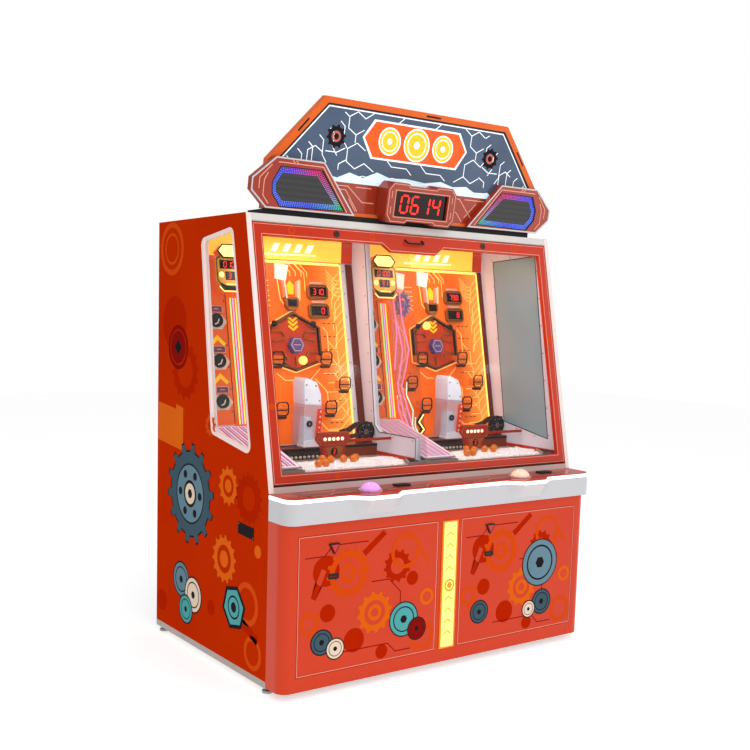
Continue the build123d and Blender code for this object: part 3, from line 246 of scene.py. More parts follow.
# One layer of ink, and where the printed film lies on each side.
INK = 0.00015
SIDE_FILM = 0.8252
for hand, outer, way in (("left", -SIDE_FILM, -1), ("right", SIDE_FILM, 1)):
    side = board((outer, 0, 0), (0, way, 0), (0, 0, 1))

    def at(y, z):
        return way * y, z

    cut_sheet(f"side_{hand}_rings", side, [*discs(*at(0.470, 1.765), 0.116, 0.092, 0.070, 0.058),
        gear(*at(0.085, 1.02), 0.040, 10, 0.010), disc(*at(0.085, 1.02), 0.022),
        *discs(*at(-0.250, 0.330), 0.090, 0.066), *discs(*at(-0.300, 0.140), 0.070, 0.050)], 0, INK,
        print_light)
    cut_sheet(f"side_{hand}_gears", side, [gear(*at(-0.079, 0.786), 0.070, 12, 0.012),
        *discs(*at(-0.079, 0.786), 0.046, 0.028), gear(*at(-0.051, 0.475), 0.088, 14, 0.014),
        *discs(*at(-0.051, 0.475), 0.060, 0.036), [at(0.600, 0.905), at(0.345, 0.880), at(0.345, 1.070),
        at(0.415, 1.082), at(0.415, 1.060), at(0.600, 1.080)], disc(*at(-0.330, 0.560), 0.026)], 0, INK,
        print_gold)
    cut_sheet(f"side_{hand}_deep_shapes", side, [gear(*at(-0.250, 0.760), 0.092, 16, 0.014),
        disc(*at(-0.250, 0.760), 0.050), disc(*at(0.440, 1.440), 0.118),
        gear(*at(0.330, 1.235), 0.112, 14, 0.016), disc(*at(0.330, 1.235), 0.074),
        disc(*at(0.550, 0.160), 0.050), [at(-0.330, 0.180), at(-0.345, 0.215), at(-0.190, 0.275),
        at(-0.175, 0.240)], disc(*at(0.060, 0.240), 0.034)], 0, INK, print_deep)
    cut_sheet(f"side_{hand}_red_coin", side, discs(*at(0.400, 1.335), 0.098, 0.080, 0.072), INK, 2 * INK,
        print_dark)
    cut_sheet(f"side_{hand}_red_coin_hole", side, [disc(*at(0.400, 1.335), 0.034, 4)], INK, 3 * INK,
        print_black)
    cut_sheet(f"side_{hand}_big_gear_edge", side, [gear(*at(0.270, 0.700), 0.192, 14, 0.034)], INK, 2 * INK,
        print_black)
    cut_sheet(f"side_{hand}_big_gear", side, [gear(*at(0.270, 0.700), 0.184, 14, 0.034),
        disc(*at(0.270, 0.700), 0.134)], 2 * INK, 3 * INK, print_slate_dark)
    cut_sheet(f"side_{hand}_big_gear_web", side, [*discs(*at(0.270, 0.700), 0.126, 0.060),
        *[disc(at(0.270, 0)[0] + 0.094 * cos(k * pi / 3), 0.700 + 0.094 * sin(k * pi / 3), 0.018, 24)
        for k in range(6)]], 2 * INK, 3 * INK, print_slate)
    cut_sheet(f"side_{hand}_big_gear_hub", side, [disc(*at(0.270, 0.700), 0.046),
        disc(*at(0.270, 0.700), 0.022, 6)], 2 * INK, 3 * INK, print_cream)
    for k, (y, z, radius, tone) in enumerate(((0.350, 0.300, 0.075, print_slate),
            (0.230, 0.255, 0.075, print_cream), (0.300, 0.175, 0.060, print_teal))):
        lift = 3 * k * INK
        cut_sheet(f"side_{hand}_coin_edge_{k}", side, [disc(*at(y, z), radius + 0.007)], lift, lift + INK,
            print_black)
        cut_sheet(f"side_{hand}_coin_{k}", side, [*discs(*at(y, z), radius, radius * 0.78, radius * 0.70),
            disc(*at(y, z), radius * 0.24, 6)], lift + INK, lift + 2 * INK, tone)
    cut_sheet(f"side_{hand}_nut_edge", side, [disc(*at(-0.140, 0.290), 0.100, 6, 0.2)], INK, 2 * INK,
        print_black)
    cut_sheet(f"side_{hand}_nut", side, [disc(*at(-0.140, 0.290), 0.082, 6, 0.2),
        *discs(*at(-0.140, 0.290), 0.050, 0.042, 0.022)], 2 * INK, 3 * INK, print_teal)
    cut_sheet(f"side_{hand}_cover_plate", side, [[at(-0.168, 0.655), at(-0.168, 0.607), at(-0.298, 0.600),
        at(-0.298, 0.648)]], 0, 0.0010, print_black, bevel=0.0004)


# Screws: steel pan-head screws that hold the mouldings, wall liners and trims to the boards behind
# them. Each run is one small turned head, repeated evenly along a line.
def line_of_heads():
    """A node tree that sets domed heads at a spacing along lines and makes them real."""
    tree = bpy.data.node_groups.new("heads_along_lines", "GeometryNodeTree")
    tree.interface.new_socket("Lines", in_out="INPUT", socket_type="NodeSocketGeometry")
    for label, kind in (("Spacing", "NodeSocketFloat"), ("Radius", "NodeSocketFloat"),
            ("Rise", "NodeSocketFloat"), ("Turn", "NodeSocketVector"), ("Finish", "NodeSocketMaterial")):
        tree.interface.new_socket(label, in_out="INPUT", socket_type=kind)
    tree.interface.new_socket("Heads", in_out="OUTPUT", socket_type="NodeSocketGeometry")
    nodes, links = tree.nodes, tree.links
    given, result = nodes.new("NodeGroupInput"), nodes.new("NodeGroupOutput")
    path, steps = nodes.new("GeometryNodeMeshToCurve"), nodes.new("GeometryNodeResampleCurve")
    steps.mode = "LENGTH"
    head, put = nodes.new("GeometryNodeMeshUVSphere"), nodes.new("GeometryNodeInstanceOnPoints")
    head.inputs["Segments"].default_value, head.inputs["Rings"].default_value = 10, 6
    head.inputs["Radius"].default_value = 1.0
    size, real = nodes.new("ShaderNodeCombineXYZ"), nodes.new("GeometryNodeRealizeInstances")
    paint = nodes.new("GeometryNodeSetMaterial")
    links.new(given.outputs["Lines"], path.inputs["Mesh"])
    links.new(path.outputs["Curve"], steps.inputs["Curve"])
    links.new(given.outputs["Spacing"], steps.inputs["Length"])
    links.new(steps.outputs["Curve"], put.inputs["Points"])
    links.new(head.outputs["Mesh"], put.inputs["Instance"])
    links.new(given.outputs["Radius"], size.inputs["X"])
    links.new(given.outputs["Radius"], size.inputs["Y"])
    links.new(given.outputs["Rise"], size.inputs["Z"])
    links.new(size.outputs["Vector"], put.inputs["Scale"])
    links.new(given.outputs["Turn"], put.inputs["Rotation"])
    links.new(put.outputs["Instances"], real.inputs["Geometry"])
    links.new(real.outputs["Geometry"], paint.inputs["Geometry"])
    links.new(given.outputs["Finish"], paint.inputs["Material"])
    links.new(paint.outputs["Geometry"], result.inputs["Heads"])
    return tree


heads_along_lines = line_of_heads()


def grown_piece(name, base, tree, values, body):
    """Run a node tree on a base mesh with these named values and keep the result as a plain mesh."""
    holder = bpy.data.objects.new(name + "_base", base)
    bpy.context.collection.objects.link(holder)
    grow = holder.modifiers.new("grow", "NODES")
    grow.node_group = tree
    for item in tree.interface.items_tree:
        if item.in_out == "INPUT" and item.name in values:
            grow[item.identifier] = values[item.name]
    bpy.context.view_layer.update()
    graph = bpy.context.evaluated_depsgraph_get()
    mesh = bpy.data.meshes.new_from_object(holder.evaluated_get(graph))
    bpy.data.objects.remove(holder)
    piece = bpy.data.objects.new(name, mesh)
    bpy.context.collection.objects.link(piece)
    for face in mesh.polygons:
        face.use_smooth = True
    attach(piece, body)
    return piece


def heads(name, place, runs, spacing, radius, rise, lift, material, body="cabinet"):
    """Domed heads along runs of points on a board."""
    points, edges = [], []
    for run in runs:
        first = len(points)
        points += [place @ Vector((x, y, lift)) for x, y in run]
        edges += [(first + k, first + k + 1) for k in range(len(run) - 1)]
    base = bpy.data.meshes.new(name + "_lines")
    base.from_pydata(points, edges, [])
    values = {"Spacing": spacing, "Radius": radius, "Rise": rise, "Turn": tuple(place.to_euler()),
        "Finish": material}
    return grown_piece(name, base, heads_along_lines, values, body)


left_side = board((-0.825, 0, 0), (0, -1, 0), (0, 0, 1))
heads("side_left_cover_screws", left_side, [[(0.176, 0.648), (0.290, 0.607)]], 0.12, 0.004, 0.0008, 0.0006,
    screw_steel)
rail_grey = finish("kick_rail_grey", rgb(186, 178, 172), 0.4, rgb(168, 160, 156), metallic=0.2)
give(rail_grey, "base_tray")
heads("kick_rail_screws", left_side, [[(-0.560, 0.040), (0.380, 0.040)]], 0.235, 0.0045, 0.0014, 0.0,
    screw_steel)


# Base front: a moulded wrap with rounded ends in the same orange-red as the sides, set across the
# front between the side panels, with a glowing acrylic bar let into its middle post.
base_red = finish("base_red", rgb(216, 62, 14), 0.26, rgb(202, 48, 8), coat=0.1, patch=1.5)
bar_glow = finish("centre_bar_glow", rgb(255, 200, 84), 0.3, rgb(255, 226, 130), glow=0.9, patch=9.0)
bar_trim = finish("centre_bar_trim", rgb(240, 150, 40), 0.35, rgb(226, 128, 30), glow=0.3)
give(base_red, "base_front")
give(bar_glow, "centre_light")
BASE_FACE = -0.5202
front = board((0, BASE_FACE, 0), (1, 0, 0), (0, 0, 1))
strips("centre_bar_border", front, [shut(four(-0.0375, 0.0375, 0.093, 0.6415))], 0.006, 0, 0.0058, bar_trim)
cut_sheet("centre_boss_ring", front, [*discs(0, 0.366, 0.027, 0.020), disc(0, 0.366, 0.014, 6)], 0.0085,
    0.0095, bar_trim)
strips("centre_bar_chevrons", front, [[(-0.020, z), (0, z + 0.016), (0.020, z)]
    for z in (0.15, 0.2, 0.25, 0.3, 0.43, 0.48, 0.53, 0.58)], 0.004, 0.0048, 0.0054, bar_trim)


# Service doors: printed sheet-metal doors, each with a warning lamp over a black ticket mouth and
# a keyed lock. The print repeats the gears and coins of the sides.
door_red = finish("service_door_red", rgb(216, 62, 14), 0.3, rgb(200, 48, 8), coat=0.1, patch=2.5)
lamp_red = finish("lamp_red", rgb(200, 24, 20), 0.2, rgb(150, 12, 10), coat=0.5, glow=0.4)
plastic_black = finish("plastic_black", rgb(24, 23, 24), 0.4, rgb(36, 34, 35))
give(door_red, "service_door_left", "service_door_right")
give(plastic_black, "ticket_outlet_left", "ticket_outlet_right", "coin_entries")
for hand, x0, lamp_x in (("left", -0.755, -0.5915), ("right", 0.064, 0.2275)):
    body = f"service_door_{hand}"
    strips(f"service_{hand}_outline", front, [shut(four(x0 + 0.0025, x0 + 0.6885, 0.0925, 0.6435))], 0.0022,
        0, INK, print_pink, body)
    cut_sheet(f"service_{hand}_lamp", front, [[(lamp_x - 0.018, 0.6035), (lamp_x, 0.5720),
        (lamp_x + 0.018, 0.6035)]], 0.007, 0.0095, lamp_red, body, 0.001)
    cut_sheet(f"service_{hand}_gears", front, [gear(x0 + 0.235, 0.480, 0.090, 14, 0.014),
        *discs(x0 + 0.235, 0.480, 0.066, 0.040, 0.020), *discs(x0 + 0.520, 0.540, 0.075, 0.058),
        *discs(x0 + 0.620, 0.165, 0.060, 0.044), *discs(x0 + 0.055, 0.300, 0.045, 0.030)], 0, INK,
        print_light, body)
    cut_sheet(f"service_{hand}_rings", front, [gear(x0 + 0.370, 0.300, 0.075, 12, 0.012),
        *discs(x0 + 0.370, 0.300, 0.052, 0.034, 0.018), *discs(x0 + 0.640, 0.330, 0.036, 0.022)], 0, INK,
        print_gold, body)
    cut_sheet(f"service_{hand}_deep_shapes", front, [disc(x0 + 0.130, 0.500, 0.062),
        gear(x0 + 0.480, 0.480, 0.060, 12, 0.010), disc(x0 + 0.480, 0.480, 0.034),
        disc(x0 + 0.270, 0.200, 0.050), [(x0 + 0.060, 0.400), (x0 + 0.082, 0.388), (x0 + 0.130, 0.500),
        (x0 + 0.108, 0.512)], disc(x0 + 0.560, 0.420, 0.030),
        [(x0 + 0.300, 0.560), (x0 + 0.318, 0.540), (x0 + 0.420, 0.620), (x0 + 0.404, 0.638)],
        disc(x0 + 0.140, 0.330, 0.036), disc(x0 + 0.410, 0.130, 0.030)], 0, INK * 0.6, print_deep, body)
    strips(f"service_{hand}_links", front, [[(x0 + 0.235, 0.480), (x0 + 0.330, 0.480)],
        [(x0 + 0.580, 0.560), (x0 + 0.640, 0.480)], [(x0 + 0.060, 0.240), (x0 + 0.100, 0.330)]], 0.012,
        INK * 0.2, INK * 0.8, print_light, body)
    strips(f"service_{hand}_traces", front, [
        [(x0 + 0.030, 0.560), (x0 + 0.120, 0.560), (x0 + 0.160, 0.600), (x0 + 0.330, 0.600)],
        [(x0 + 0.350, 0.430), (x0 + 0.440, 0.430), (x0 + 0.500, 0.370), (x0 + 0.500, 0.260)],
        [(x0 + 0.560, 0.120), (x0 + 0.480, 0.120), (x0 + 0.440, 0.160), (x0 + 0.200, 0.160)]],
        0.004, 0, INK, print_dark, body)
    coins = {"left": ((0.115, 0.215, 0.048, print_slate_dark), (0.180, 0.180, 0.040, print_cream),
        (0.520, 0.250, 0.070, print_teal), (0.590, 0.200, 0.045, print_dark)),
        "right": ((0.120, 0.220, 0.048, print_slate_dark), (0.480, 0.400, 0.105, print_slate),
        (0.500, 0.215, 0.055, print_slate_dark), (0.420, 0.190, 0.036, print_cream))}[hand]
    for k, (dx, z, radius, tone) in enumerate(coins):
        lift = (1 + 2 * k) * INK
        cut_sheet(f"service_{hand}_coin_edge_{k}", front, [disc(x0 + dx, z, radius + 0.005)], lift,
            lift + INK, print_black, body)
        cut_sheet(f"service_{hand}_coin_{k}", front, [*discs(x0 + dx, z, radius, radius * 0.78,
            radius * 0.70), disc(x0 + dx, z, radius * 0.26, 6)], lift + INK, lift + 2 * INK, tone, body)


# Console: a pale gloss plastic moulding across the front with a nose at each station, a lit strip
# along its edge and a printed deck that carries the coin entries and the buttons.
console_white = finish("console_white", rgb(206, 206, 208), 0.22, rgb(194, 194, 198), coat=0.4, patch=2.0)
strip_glow = finish("console_strip_glow", rgb(255, 250, 246), 0.3, rgb(255, 240, 236), glow=1.3, patch=5.0)
deck_print = finish("deck_print", rgb(200, 66, 40), 0.28, rgb(178, 50, 30), coat=0.3, patch=5.0)
deck_red = finish("deck_dark", rgb(150, 60, 56), 0.3, rgb(126, 48, 50), coat=0.3)
sill_white = finish("sill_white", rgb(222, 218, 214), 0.35, rgb(206, 200, 196))
give(console_white, "console_shell")
give(strip_glow, "console_light_strip")
give(deck_print, "console_deck")
sill_grey = finish("sill_grey_pink", rgb(208, 186, 178), 0.35, rgb(196, 172, 164))
give(sill_grey, "door_sill")
give(sill_white, "roof")
DECK_FACE = 0.8021
deck = board((0, 0, DECK_FACE), (1, 0, 0), (0, 1, 0))
for hand, x in (("left", -0.412), ("right", 0.412)):
    cut_sheet(f"deck_{hand}_panel", deck, [[(x - 0.30, -0.532), (x - 0.13, -0.532), (x - 0.10, -0.545),
        (x + 0.10, -0.545), (x + 0.13, -0.532), (x + 0.30, -0.532), (x + 0.33, -0.500), (x + 0.33, -0.440),
        (x + 0.30, -0.420), (x - 0.30, -0.420), (x - 0.33, -0.440), (x - 0.33, -0.500)],
        disc(x, -0.505, 0.050), four(x + 0.152, x + 0.228, -0.485, -0.439)], 0, INK, deck_red)
    strips(f"deck_{hand}_traces", deck, [[(x - 0.29, -0.520), (x - 0.20, -0.520), (x - 0.17, -0.490),
        (x - 0.08, -0.490)], [(x - 0.29, -0.450), (x - 0.15, -0.450), (x - 0.12, -0.432)],
        [(x + 0.08, -0.520), (x + 0.28, -0.520), (x + 0.31, -0.492)],
        [(x + 0.24, -0.450), (x + 0.31, -0.450)]], 0.004, INK, 2 * INK, print_pink)
    cut_sheet(f"button_{hand}_bezel", deck, [disc(x, -0.505, 0.049, 64), disc(x, -0.505, 0.0425, 64)], 0,
        0.0045, console_white, bevel=0.001)
heads("deck_screws", deck, [[(-0.662, -0.546), (-0.155, -0.546)], [(0.139, -0.546), (0.662, -0.546)]], 0.5,
    0.0045, 0.002, 0, screw_steel)
for hand, tones in (("left", ((236, 160, 220), (196, 130, 236))),
        ("right", ((255, 178, 150), (255, 210, 190)))):
    give(finish(f"button_{hand}_lit", rgb(*tones[0]), 0.15, rgb(*tones[1]), coat=0.6, glow=0.55, patch=22.0),
        f"button_{hand}")


# Glass door: a printed metal frame whose top rail dips in the middle, with a clear pane, a bent
# wire handle and two key locks.
door_frame_red = finish("door_frame_red", rgb(206, 54, 16), 0.3, rgb(186, 40, 10), coat=0.12, patch=2.2)
handle_black = finish("handle_black", rgb(34, 28, 28), 0.35, rgb(50, 42, 42), metallic=0.4)
lock_steel = finish("lock_steel", rgb(84, 76, 74), 0.25, rgb(50, 46, 44), metallic=0.9, patch=60.0)
door_clear = finish("door_clear", rgb(70, 76, 76), 0.02, rgb(60, 66, 66), alpha=0.08, bump=0.0)
give(door_frame_red, "glass_door_frame")
give(handle_black, "glass_door_handle")
give(lock_steel, "door_lock_left", "door_lock_right")
give(door_clear, "glass_door_pane")
DOOR_FOOT, DOOR_RISE = (0, -0.407, 0.802), (0, 0.217, 1.085)
slope = board(DOOR_FOOT, (1, 0, 0), DOOR_RISE)
strips("door_inner_outline", slope, [[(-0.762, 0.066), (0.762, 0.066), (0.762, 1.026), (0.170, 1.026),
    (0.129, 0.995), (-0.129, 0.995), (-0.170, 1.026), (-0.762, 1.026), (-0.762, 0.066)]], 0.0022, 0, INK,
    print_pink, "glass_door")
strips("door_outer_outline", slope, [shut(four(-0.795, 0.795, 0.036, 1.066))], 0.0018, 0, INK, print_pink,
    "glass_door")
cut_sheet("door_rail_rings", slope, [*discs(-0.62, 1.047, 0.016, 0.011), *discs(0.60, 1.047, 0.017, 0.012),
    *discs(-0.22, 1.047, 0.014, 0.009), disc(-0.779, 0.34, 0.013), disc(0.779, 0.62, 0.013),
    disc(-0.50, 0.051, 0.012), disc(0.22, 0.051, 0.012)], 0, INK, print_light, "glass_door")
for hand, x in (("left", -0.404), ("right", 0.404)):
    cut_sheet(f"door_lock_{hand}_keyway", slope, [four(x - 0.0013, x + 0.0013, 1.0405, 1.0535)], 0.005,
        0.0054, print_black, f"door_lock_{hand}")
strips("roof_beam_seam", slope, [[(-0.800, 1.0775), (0.800, 1.0775)]], 0.0015, 0, INK, rail_grey)


# Marquee: a back-lit printed face in an orange edge frame, over a red band with raised line work.
frame_orange = finish("marquee_frame_orange", rgb(234, 104, 14), 0.3, rgb(220, 88, 10), coat=0.15)
slate_lit = finish("marquee_slate_lit", rgb(46, 60, 82), 0.25, rgb(84, 104, 130), coat=0.2, glow=0.14,
    patch=3.5)
ice_lit = finish("marquee_ice_lit", rgb(176, 212, 232), 0.25, rgb(226, 240, 248), glow=0.4, patch=16.0)
line_white = finish("marquee_line_white", rgb(240, 244, 248), 0.3, rgb(226, 234, 242), glow=0.5)
band_red = finish("marquee_band_red", rgb(172, 56, 30), 0.3, rgb(152, 44, 24), coat=0.4)
band_pale = finish("marquee_band_pale", rgb(238, 176, 150), 0.3, rgb(230, 160, 136))
coin_yellow = finish("coin_yellow", rgb(250, 206, 40), 0.25, rgb(242, 176, 20), glow=0.25)
badge_orange = finish("badge_orange", rgb(236, 96, 20), 0.25, rgb(226, 80, 14), glow=0.15)
housing_black = finish("housing_black", rgb(30, 30, 32), 0.5, rgb(42, 42, 44))
give(frame_orange, "marquee_frame")
give(slate_lit, "marquee_face")
give(housing_black, "marquee_housing")
SIGN_FOOT, SIGN_RISE = (0, -0.167, 1.912), (0, -0.1658, 0.9862)
sign = board(SIGN_FOOT, (1, 0, 0), SIGN_RISE)
strips("marquee_edge_slots", sign, [[(0.02, 0.449), (0.10, 0.449)], [(-0.565, 0.366), (-0.610, 0.312)],
    [(0.570, 0.360), (0.620, 0.302)]], 0.008, 0, INK, plastic_black)
strips("marquee_dark_outline", sign, [both([(0.479, 0.435), (0.703, 0.178)])], 0.006, 0, INK, plastic_black)
# The lit face lies this far behind the front of its frame.
SIGN_SHEET = -0.004


def sign_sheet(name, loops, low, high, material):
    """A print on the lit face, from one count of ink layers to another."""
    return cut_sheet(name, sign, loops, SIGN_SHEET + low * INK, SIGN_SHEET + high * INK, material)


def sign_strips(name, runs, width, low, high, material):
    """Printed lines on the lit face, from one count of ink layers to another."""
    return strips(name, sign, runs, width, SIGN_SHEET + low * INK, SIGN_SHEET + high * INK, material)


sign_strips("marquee_white_outline", [both([(0.474, 0.427), (0.692, 0.176)])], 0.005, 0, 1, line_white)
hex_runs = []
for side in (-1, 1):
    for k in range(6):
        x, q = side * (0.650 - 0.048 * k), 0.212 + 0.0325 * k
        hex_runs.append([(x, q), (x - side * 0.022, q - 0.018),
            (x - side * 0.022, 0.186 if k < 2 else q - 0.075),
            (x - side * 0.045, 0.180 if k < 2 else q - 0.105)])
    for x, q, size in ((0.318, 0.245, 0.052), (0.330, 0.375, 0.046), (0.520, 0.225, 0.040)):
        corners = disc(side * x, q, size, 6, pi / 6)
        hex_runs.append([corners[k % 6] for k in range(6)])
    hex_runs += [[(side * 0.330, 0.329), (side * 0.330, 0.297)],
        [(side * 0.364, 0.225), (side * 0.400, 0.205), (side * 0.400, 0.182)],
        [(side * 0.290, 0.398), (side * 0.250, 0.424)], [(side * 0.372, 0.398), (side * 0.395, 0.412)],
        [(side * 0.273, 0.219), (side * 0.220, 0.190)], [(side * 0.375, 0.271), (side * 0.415, 0.250),
        (side * 0.470, 0.250)]]
hex_runs += [[(-0.16, 0.246), (-0.13, 0.220), (-0.05, 0.220), (-0.02, 0.196)],
    [(0.02, 0.246), (0.06, 0.212), (0.14, 0.212), (0.17, 0.190)], [(-0.12, 0.400), (-0.09, 0.424)],
    [(0.08, 0.400), (0.11, 0.424)]]
sign_strips("marquee_hex_lines", hex_runs, 0.0035, 0, 1, line_white)
sign_sheet("marquee_ice_band", [[(-0.47, 0.134), (-0.47, 0.162), (-0.40, 0.150), (-0.34, 0.176),
    (-0.27, 0.160), (-0.20, 0.190), (-0.13, 0.172), (-0.04, 0.178), (0.06, 0.170), (0.15, 0.184),
    (0.22, 0.168), (0.30, 0.176), (0.36, 0.150), (0.43, 0.162), (0.47, 0.134)]], 0, 2, ice_lit)
sign_strips("marquee_ice_facets", [[(-0.44, 0.138), (-0.34, 0.150), (-0.27, 0.168), (-0.20, 0.150),
    (-0.12, 0.174), (0.02, 0.158), (0.15, 0.176), (0.26, 0.150), (0.40, 0.156)],
    [(-0.34, 0.150), (-0.30, 0.136)], [(-0.20, 0.186), (-0.17, 0.140)], [(0.15, 0.180), (0.11, 0.138)],
    [(0.26, 0.170), (0.24, 0.138)]], 0.003, 2, 3, line_white)
sign_sheet("marquee_red_band", [[(-0.700, 0.016), (0.700, 0.016), (0.700, 0.133), (-0.700, 0.133)]], 0, 4,
    band_red)
sign_strips("marquee_band_lines", [[(-0.44, 0.120), (-0.34, 0.120), (-0.26, 0.060), (-0.20, 0.060)],
    [(-0.42, 0.105), (-0.35, 0.105), (-0.28, 0.020)], [(-0.30, 0.120), (-0.22, 0.120)],
    [(-0.33, 0.070), (-0.29, 0.020)], [(0.22, 0.120), (0.27, 0.120), (0.36, 0.030)],
    [(0.20, 0.060), (0.26, 0.060), (0.30, 0.020)], [(0.30, 0.120), (0.42, 0.120)],
    [(0.37, 0.105), (0.31, 0.040)]], 0.004, 4, 5, band_pale)
badge = [(-0.285, 0.325), (-0.235, 0.395), (0.215, 0.395), (0.265, 0.325), (0.215, 0.250), (-0.235, 0.250)]
sign_sheet("marquee_badge_edge", [[(x * 1.035 - 0.0003, 0.3225 + (q - 0.3225) * 1.10) for x, q in badge]], 0,
    3, line_white)
sign_sheet("marquee_badge", [badge], 3, 4, badge_orange)
for k, (x, radius) in enumerate(((-0.155, 0.052), (0.135, 0.052), (-0.01, 0.064))):
    sign_sheet(f"marquee_coin_edge_{k}", [disc(x, 0.3225, radius + 0.006)], 4, 5, line_white)
    sign_sheet(f"marquee_coin_{k}", [*discs(x, 0.3225, radius, radius * 0.80, radius * 0.72),
        disc(x, 0.3225, radius * 0.26, 6)], 5, 6, coin_yellow)
for k, x in enumerate((-0.425, 0.415)):
    sign_sheet(f"marquee_small_gear_{k}", [gear(x, 0.312, 0.040, 10, 0.008), *discs(x, 0.312, 0.024, 0.012)],
        0, 2, print_black)
    sign_sheet(f"marquee_small_coin_{k}", discs(x, 0.312, 0.020, 0.014), 1, 2, badge_orange)


# Speaker pods: red panels with white edges and pale line work; each mouth is a dark perforated
# grille framed by rows of coloured lamps.
pod_red = finish("pod_red", rgb(168, 56, 32), 0.28, rgb(150, 44, 26), coat=0.4)
give(pod_red, "speaker_pods")
mesh_black = bpy.data.materials.new("grille_black")
mesh_black.use_nodes = True
grille_nodes, grille_links = mesh_black.node_tree.nodes, mesh_black.node_tree.links
grille_shader = grille_nodes["Principled BSDF"]
grille_place = grille_nodes.new("ShaderNodeTexCoord")
grille_cells = grille_nodes.new("ShaderNodeTexVoronoi")
grille_cells.inputs["Scale"].default_value = 260.0
grille_cells.inputs["Randomness"].default_value = 0.0
# The cells' darker middles are painted shade, standing for the grille's holes.
grille_hole_shade = grille_nodes.new("ShaderNodeMapRange")
grille_hole_shade.inputs["From Min"].default_value = 0.25
grille_hole_shade.inputs["From Max"].default_value = 0.45
grille_hole_shade.inputs["To Min"].default_value = 0.002
grille_hole_shade.inputs["To Max"].default_value = 0.03
grille_links.new(grille_place.outputs["Object"], grille_cells.inputs["Vector"])
grille_links.new(grille_cells.outputs["Distance"], grille_hole_shade.inputs["Value"])
grille_links.new(grille_hole_shade.outputs["Result"], grille_shader.inputs["Base Color"])
grille_shader.inputs["Roughness"].default_value = 0.45
give(mesh_black, "speakers")

lamp_colours = bpy.data.materials.new("pod_lamp_colours")
lamp_colours.use_nodes = True
lamp_nodes, lamp_links = lamp_colours.node_tree.nodes, lamp_colours.node_tree.links
lamp_shader = lamp_nodes["Principled BSDF"]
lamp_place, lamp_split = lamp_nodes.new("ShaderNodeTexCoord"), lamp_nodes.new("ShaderNodeSeparateXYZ")
lamp_away = lamp_nodes.new("ShaderNodeMath")
lamp_away.operation = "ABSOLUTE"
lamp_low = lamp_nodes.new("ShaderNodeMapRange")
lamp_low.inputs["From Min"].default_value = 1.932
lamp_low.inputs["From Max"].default_value = 2.07
lamp_across = lamp_nodes.new("ShaderNodeMapRange")
lamp_across.inputs["From Min"].default_value = 0.36
lamp_across.inputs["From Max"].default_value = 0.72
upper_ramp, lower_ramp = lamp_nodes.new("ShaderNodeValToRGB"), lamp_nodes.new("ShaderNodeValToRGB")
for ramp, stops in ((upper_ramp, ((0.0, (230, 30, 40)), (0.45, (220, 40, 120)), (0.75, (130, 70, 230)),
        (0.95, (50, 90, 240)))), (lower_ramp, ((0.0, (60, 200, 70)), (0.22, (60, 150, 220)),
        (0.5, (60, 90, 235)), (0.95, (80, 120, 245))))):
    while len(ramp.color_ramp.elements) < len(stops):
        ramp.color_ramp.elements.new(0.5)
    for element, (spot, tone) in zip(ramp.color_ramp.elements, stops):
        element.position, element.color = spot, rgb(*tone)
lamp_mix = lamp_nodes.new("ShaderNodeMix")
lamp_mix.data_type = "RGBA"
lamp_links.new(lamp_place.outputs["Object"], lamp_split.inputs["Vector"])
lamp_links.new(lamp_split.outputs["X"], lamp_away.inputs[0])
lamp_links.new(lamp_away.outputs["Value"], lamp_across.inputs["Value"])
lamp_links.new(lamp_split.outputs["Z"], lamp_low.inputs["Value"])
lamp_links.new(lamp_across.outputs["Result"], upper_ramp.inputs["Fac"])
lamp_links.new(lamp_across.outputs["Result"], lower_ramp.inputs["Fac"])
lamp_links.new(lamp_low.outputs["Result"], lamp_mix.inputs[0])
lamp_links.new(lower_ramp.outputs["Color"], lamp_mix.inputs[6])
lamp_links.new(upper_ramp.outputs["Color"], lamp_mix.inputs[7])
lamp_links.new(lamp_mix.outputs[2], lamp_shader.inputs["Base Color"])
lamp_links.new(lamp_mix.outputs[2], lamp_shader.inputs["Emission Color"])
lamp_shader.inputs["Emission Strength"].default_value = 1.0
lamp_shader.inputs["Roughness"].default_value = 0.3
for hand, way in (("left", -1), ("right", 1)):
    mouth = [(0.365, 0.018), (0.490, 0.170), (0.688, 0.168), (0.720, 0.106), (0.716, 0.060), (0.676, 0.012)]
    outer = [(0.314, 0.002), (0.486, 0.205), (0.712, 0.205), (0.813, 0.115), (0.813, 0.066), (0.742, 0.002)]
    centre = Vector((sum(p[0] for p in mouth) / 6, sum(p[1] for p in mouth) / 6))
    rows = []
    for row in range(4):
        pull = 1 - 0.075 * (row + 0.6)
        rows.append(shut([(way * (centre.x + (x - centre.x) * (1 - 0.045 * (row + 0.6))),
            centre.y + (q - centre.y) * pull) for x, q in mouth]))
    heads(f"pod_{hand}_lamps", sign, rows, 0.0085, 0.0025, 0.002, 0.0205, lamp_colours)
    strips(f"pod_{hand}_edge", sign, [shut([(way * (0.56 + (x - 0.56) * 0.985),
        0.1035 + (q - 0.1035) * 0.965) for x, q in outer])], 0.006, 0.028, 0.0285, console_white)
    strips(f"pod_{hand}_lines", sign, [[(way * 0.352, 0.014), (way * 0.490, 0.184), (way * 0.700, 0.184)],
        [(way * 0.727, 0.172), (way * 0.778, 0.118), (way * 0.778, 0.075)],
        [(way * 0.742, 0.140), (way * 0.757, 0.110), (way * 0.757, 0.050), (way * 0.730, 0.020)],
        [(way * 0.620, 0.196), (way * 0.606, 0.184)], [(way * 0.636, 0.196), (way * 0.622, 0.184)]], 0.0035,
        0.028, 0.0284, band_pale)
    strips(f"pod_{hand}_mouth_edge", sign, [shut([(way * x, q) for x, q in mouth])], 0.004, 0.024, 0.0284,
        plastic_black)


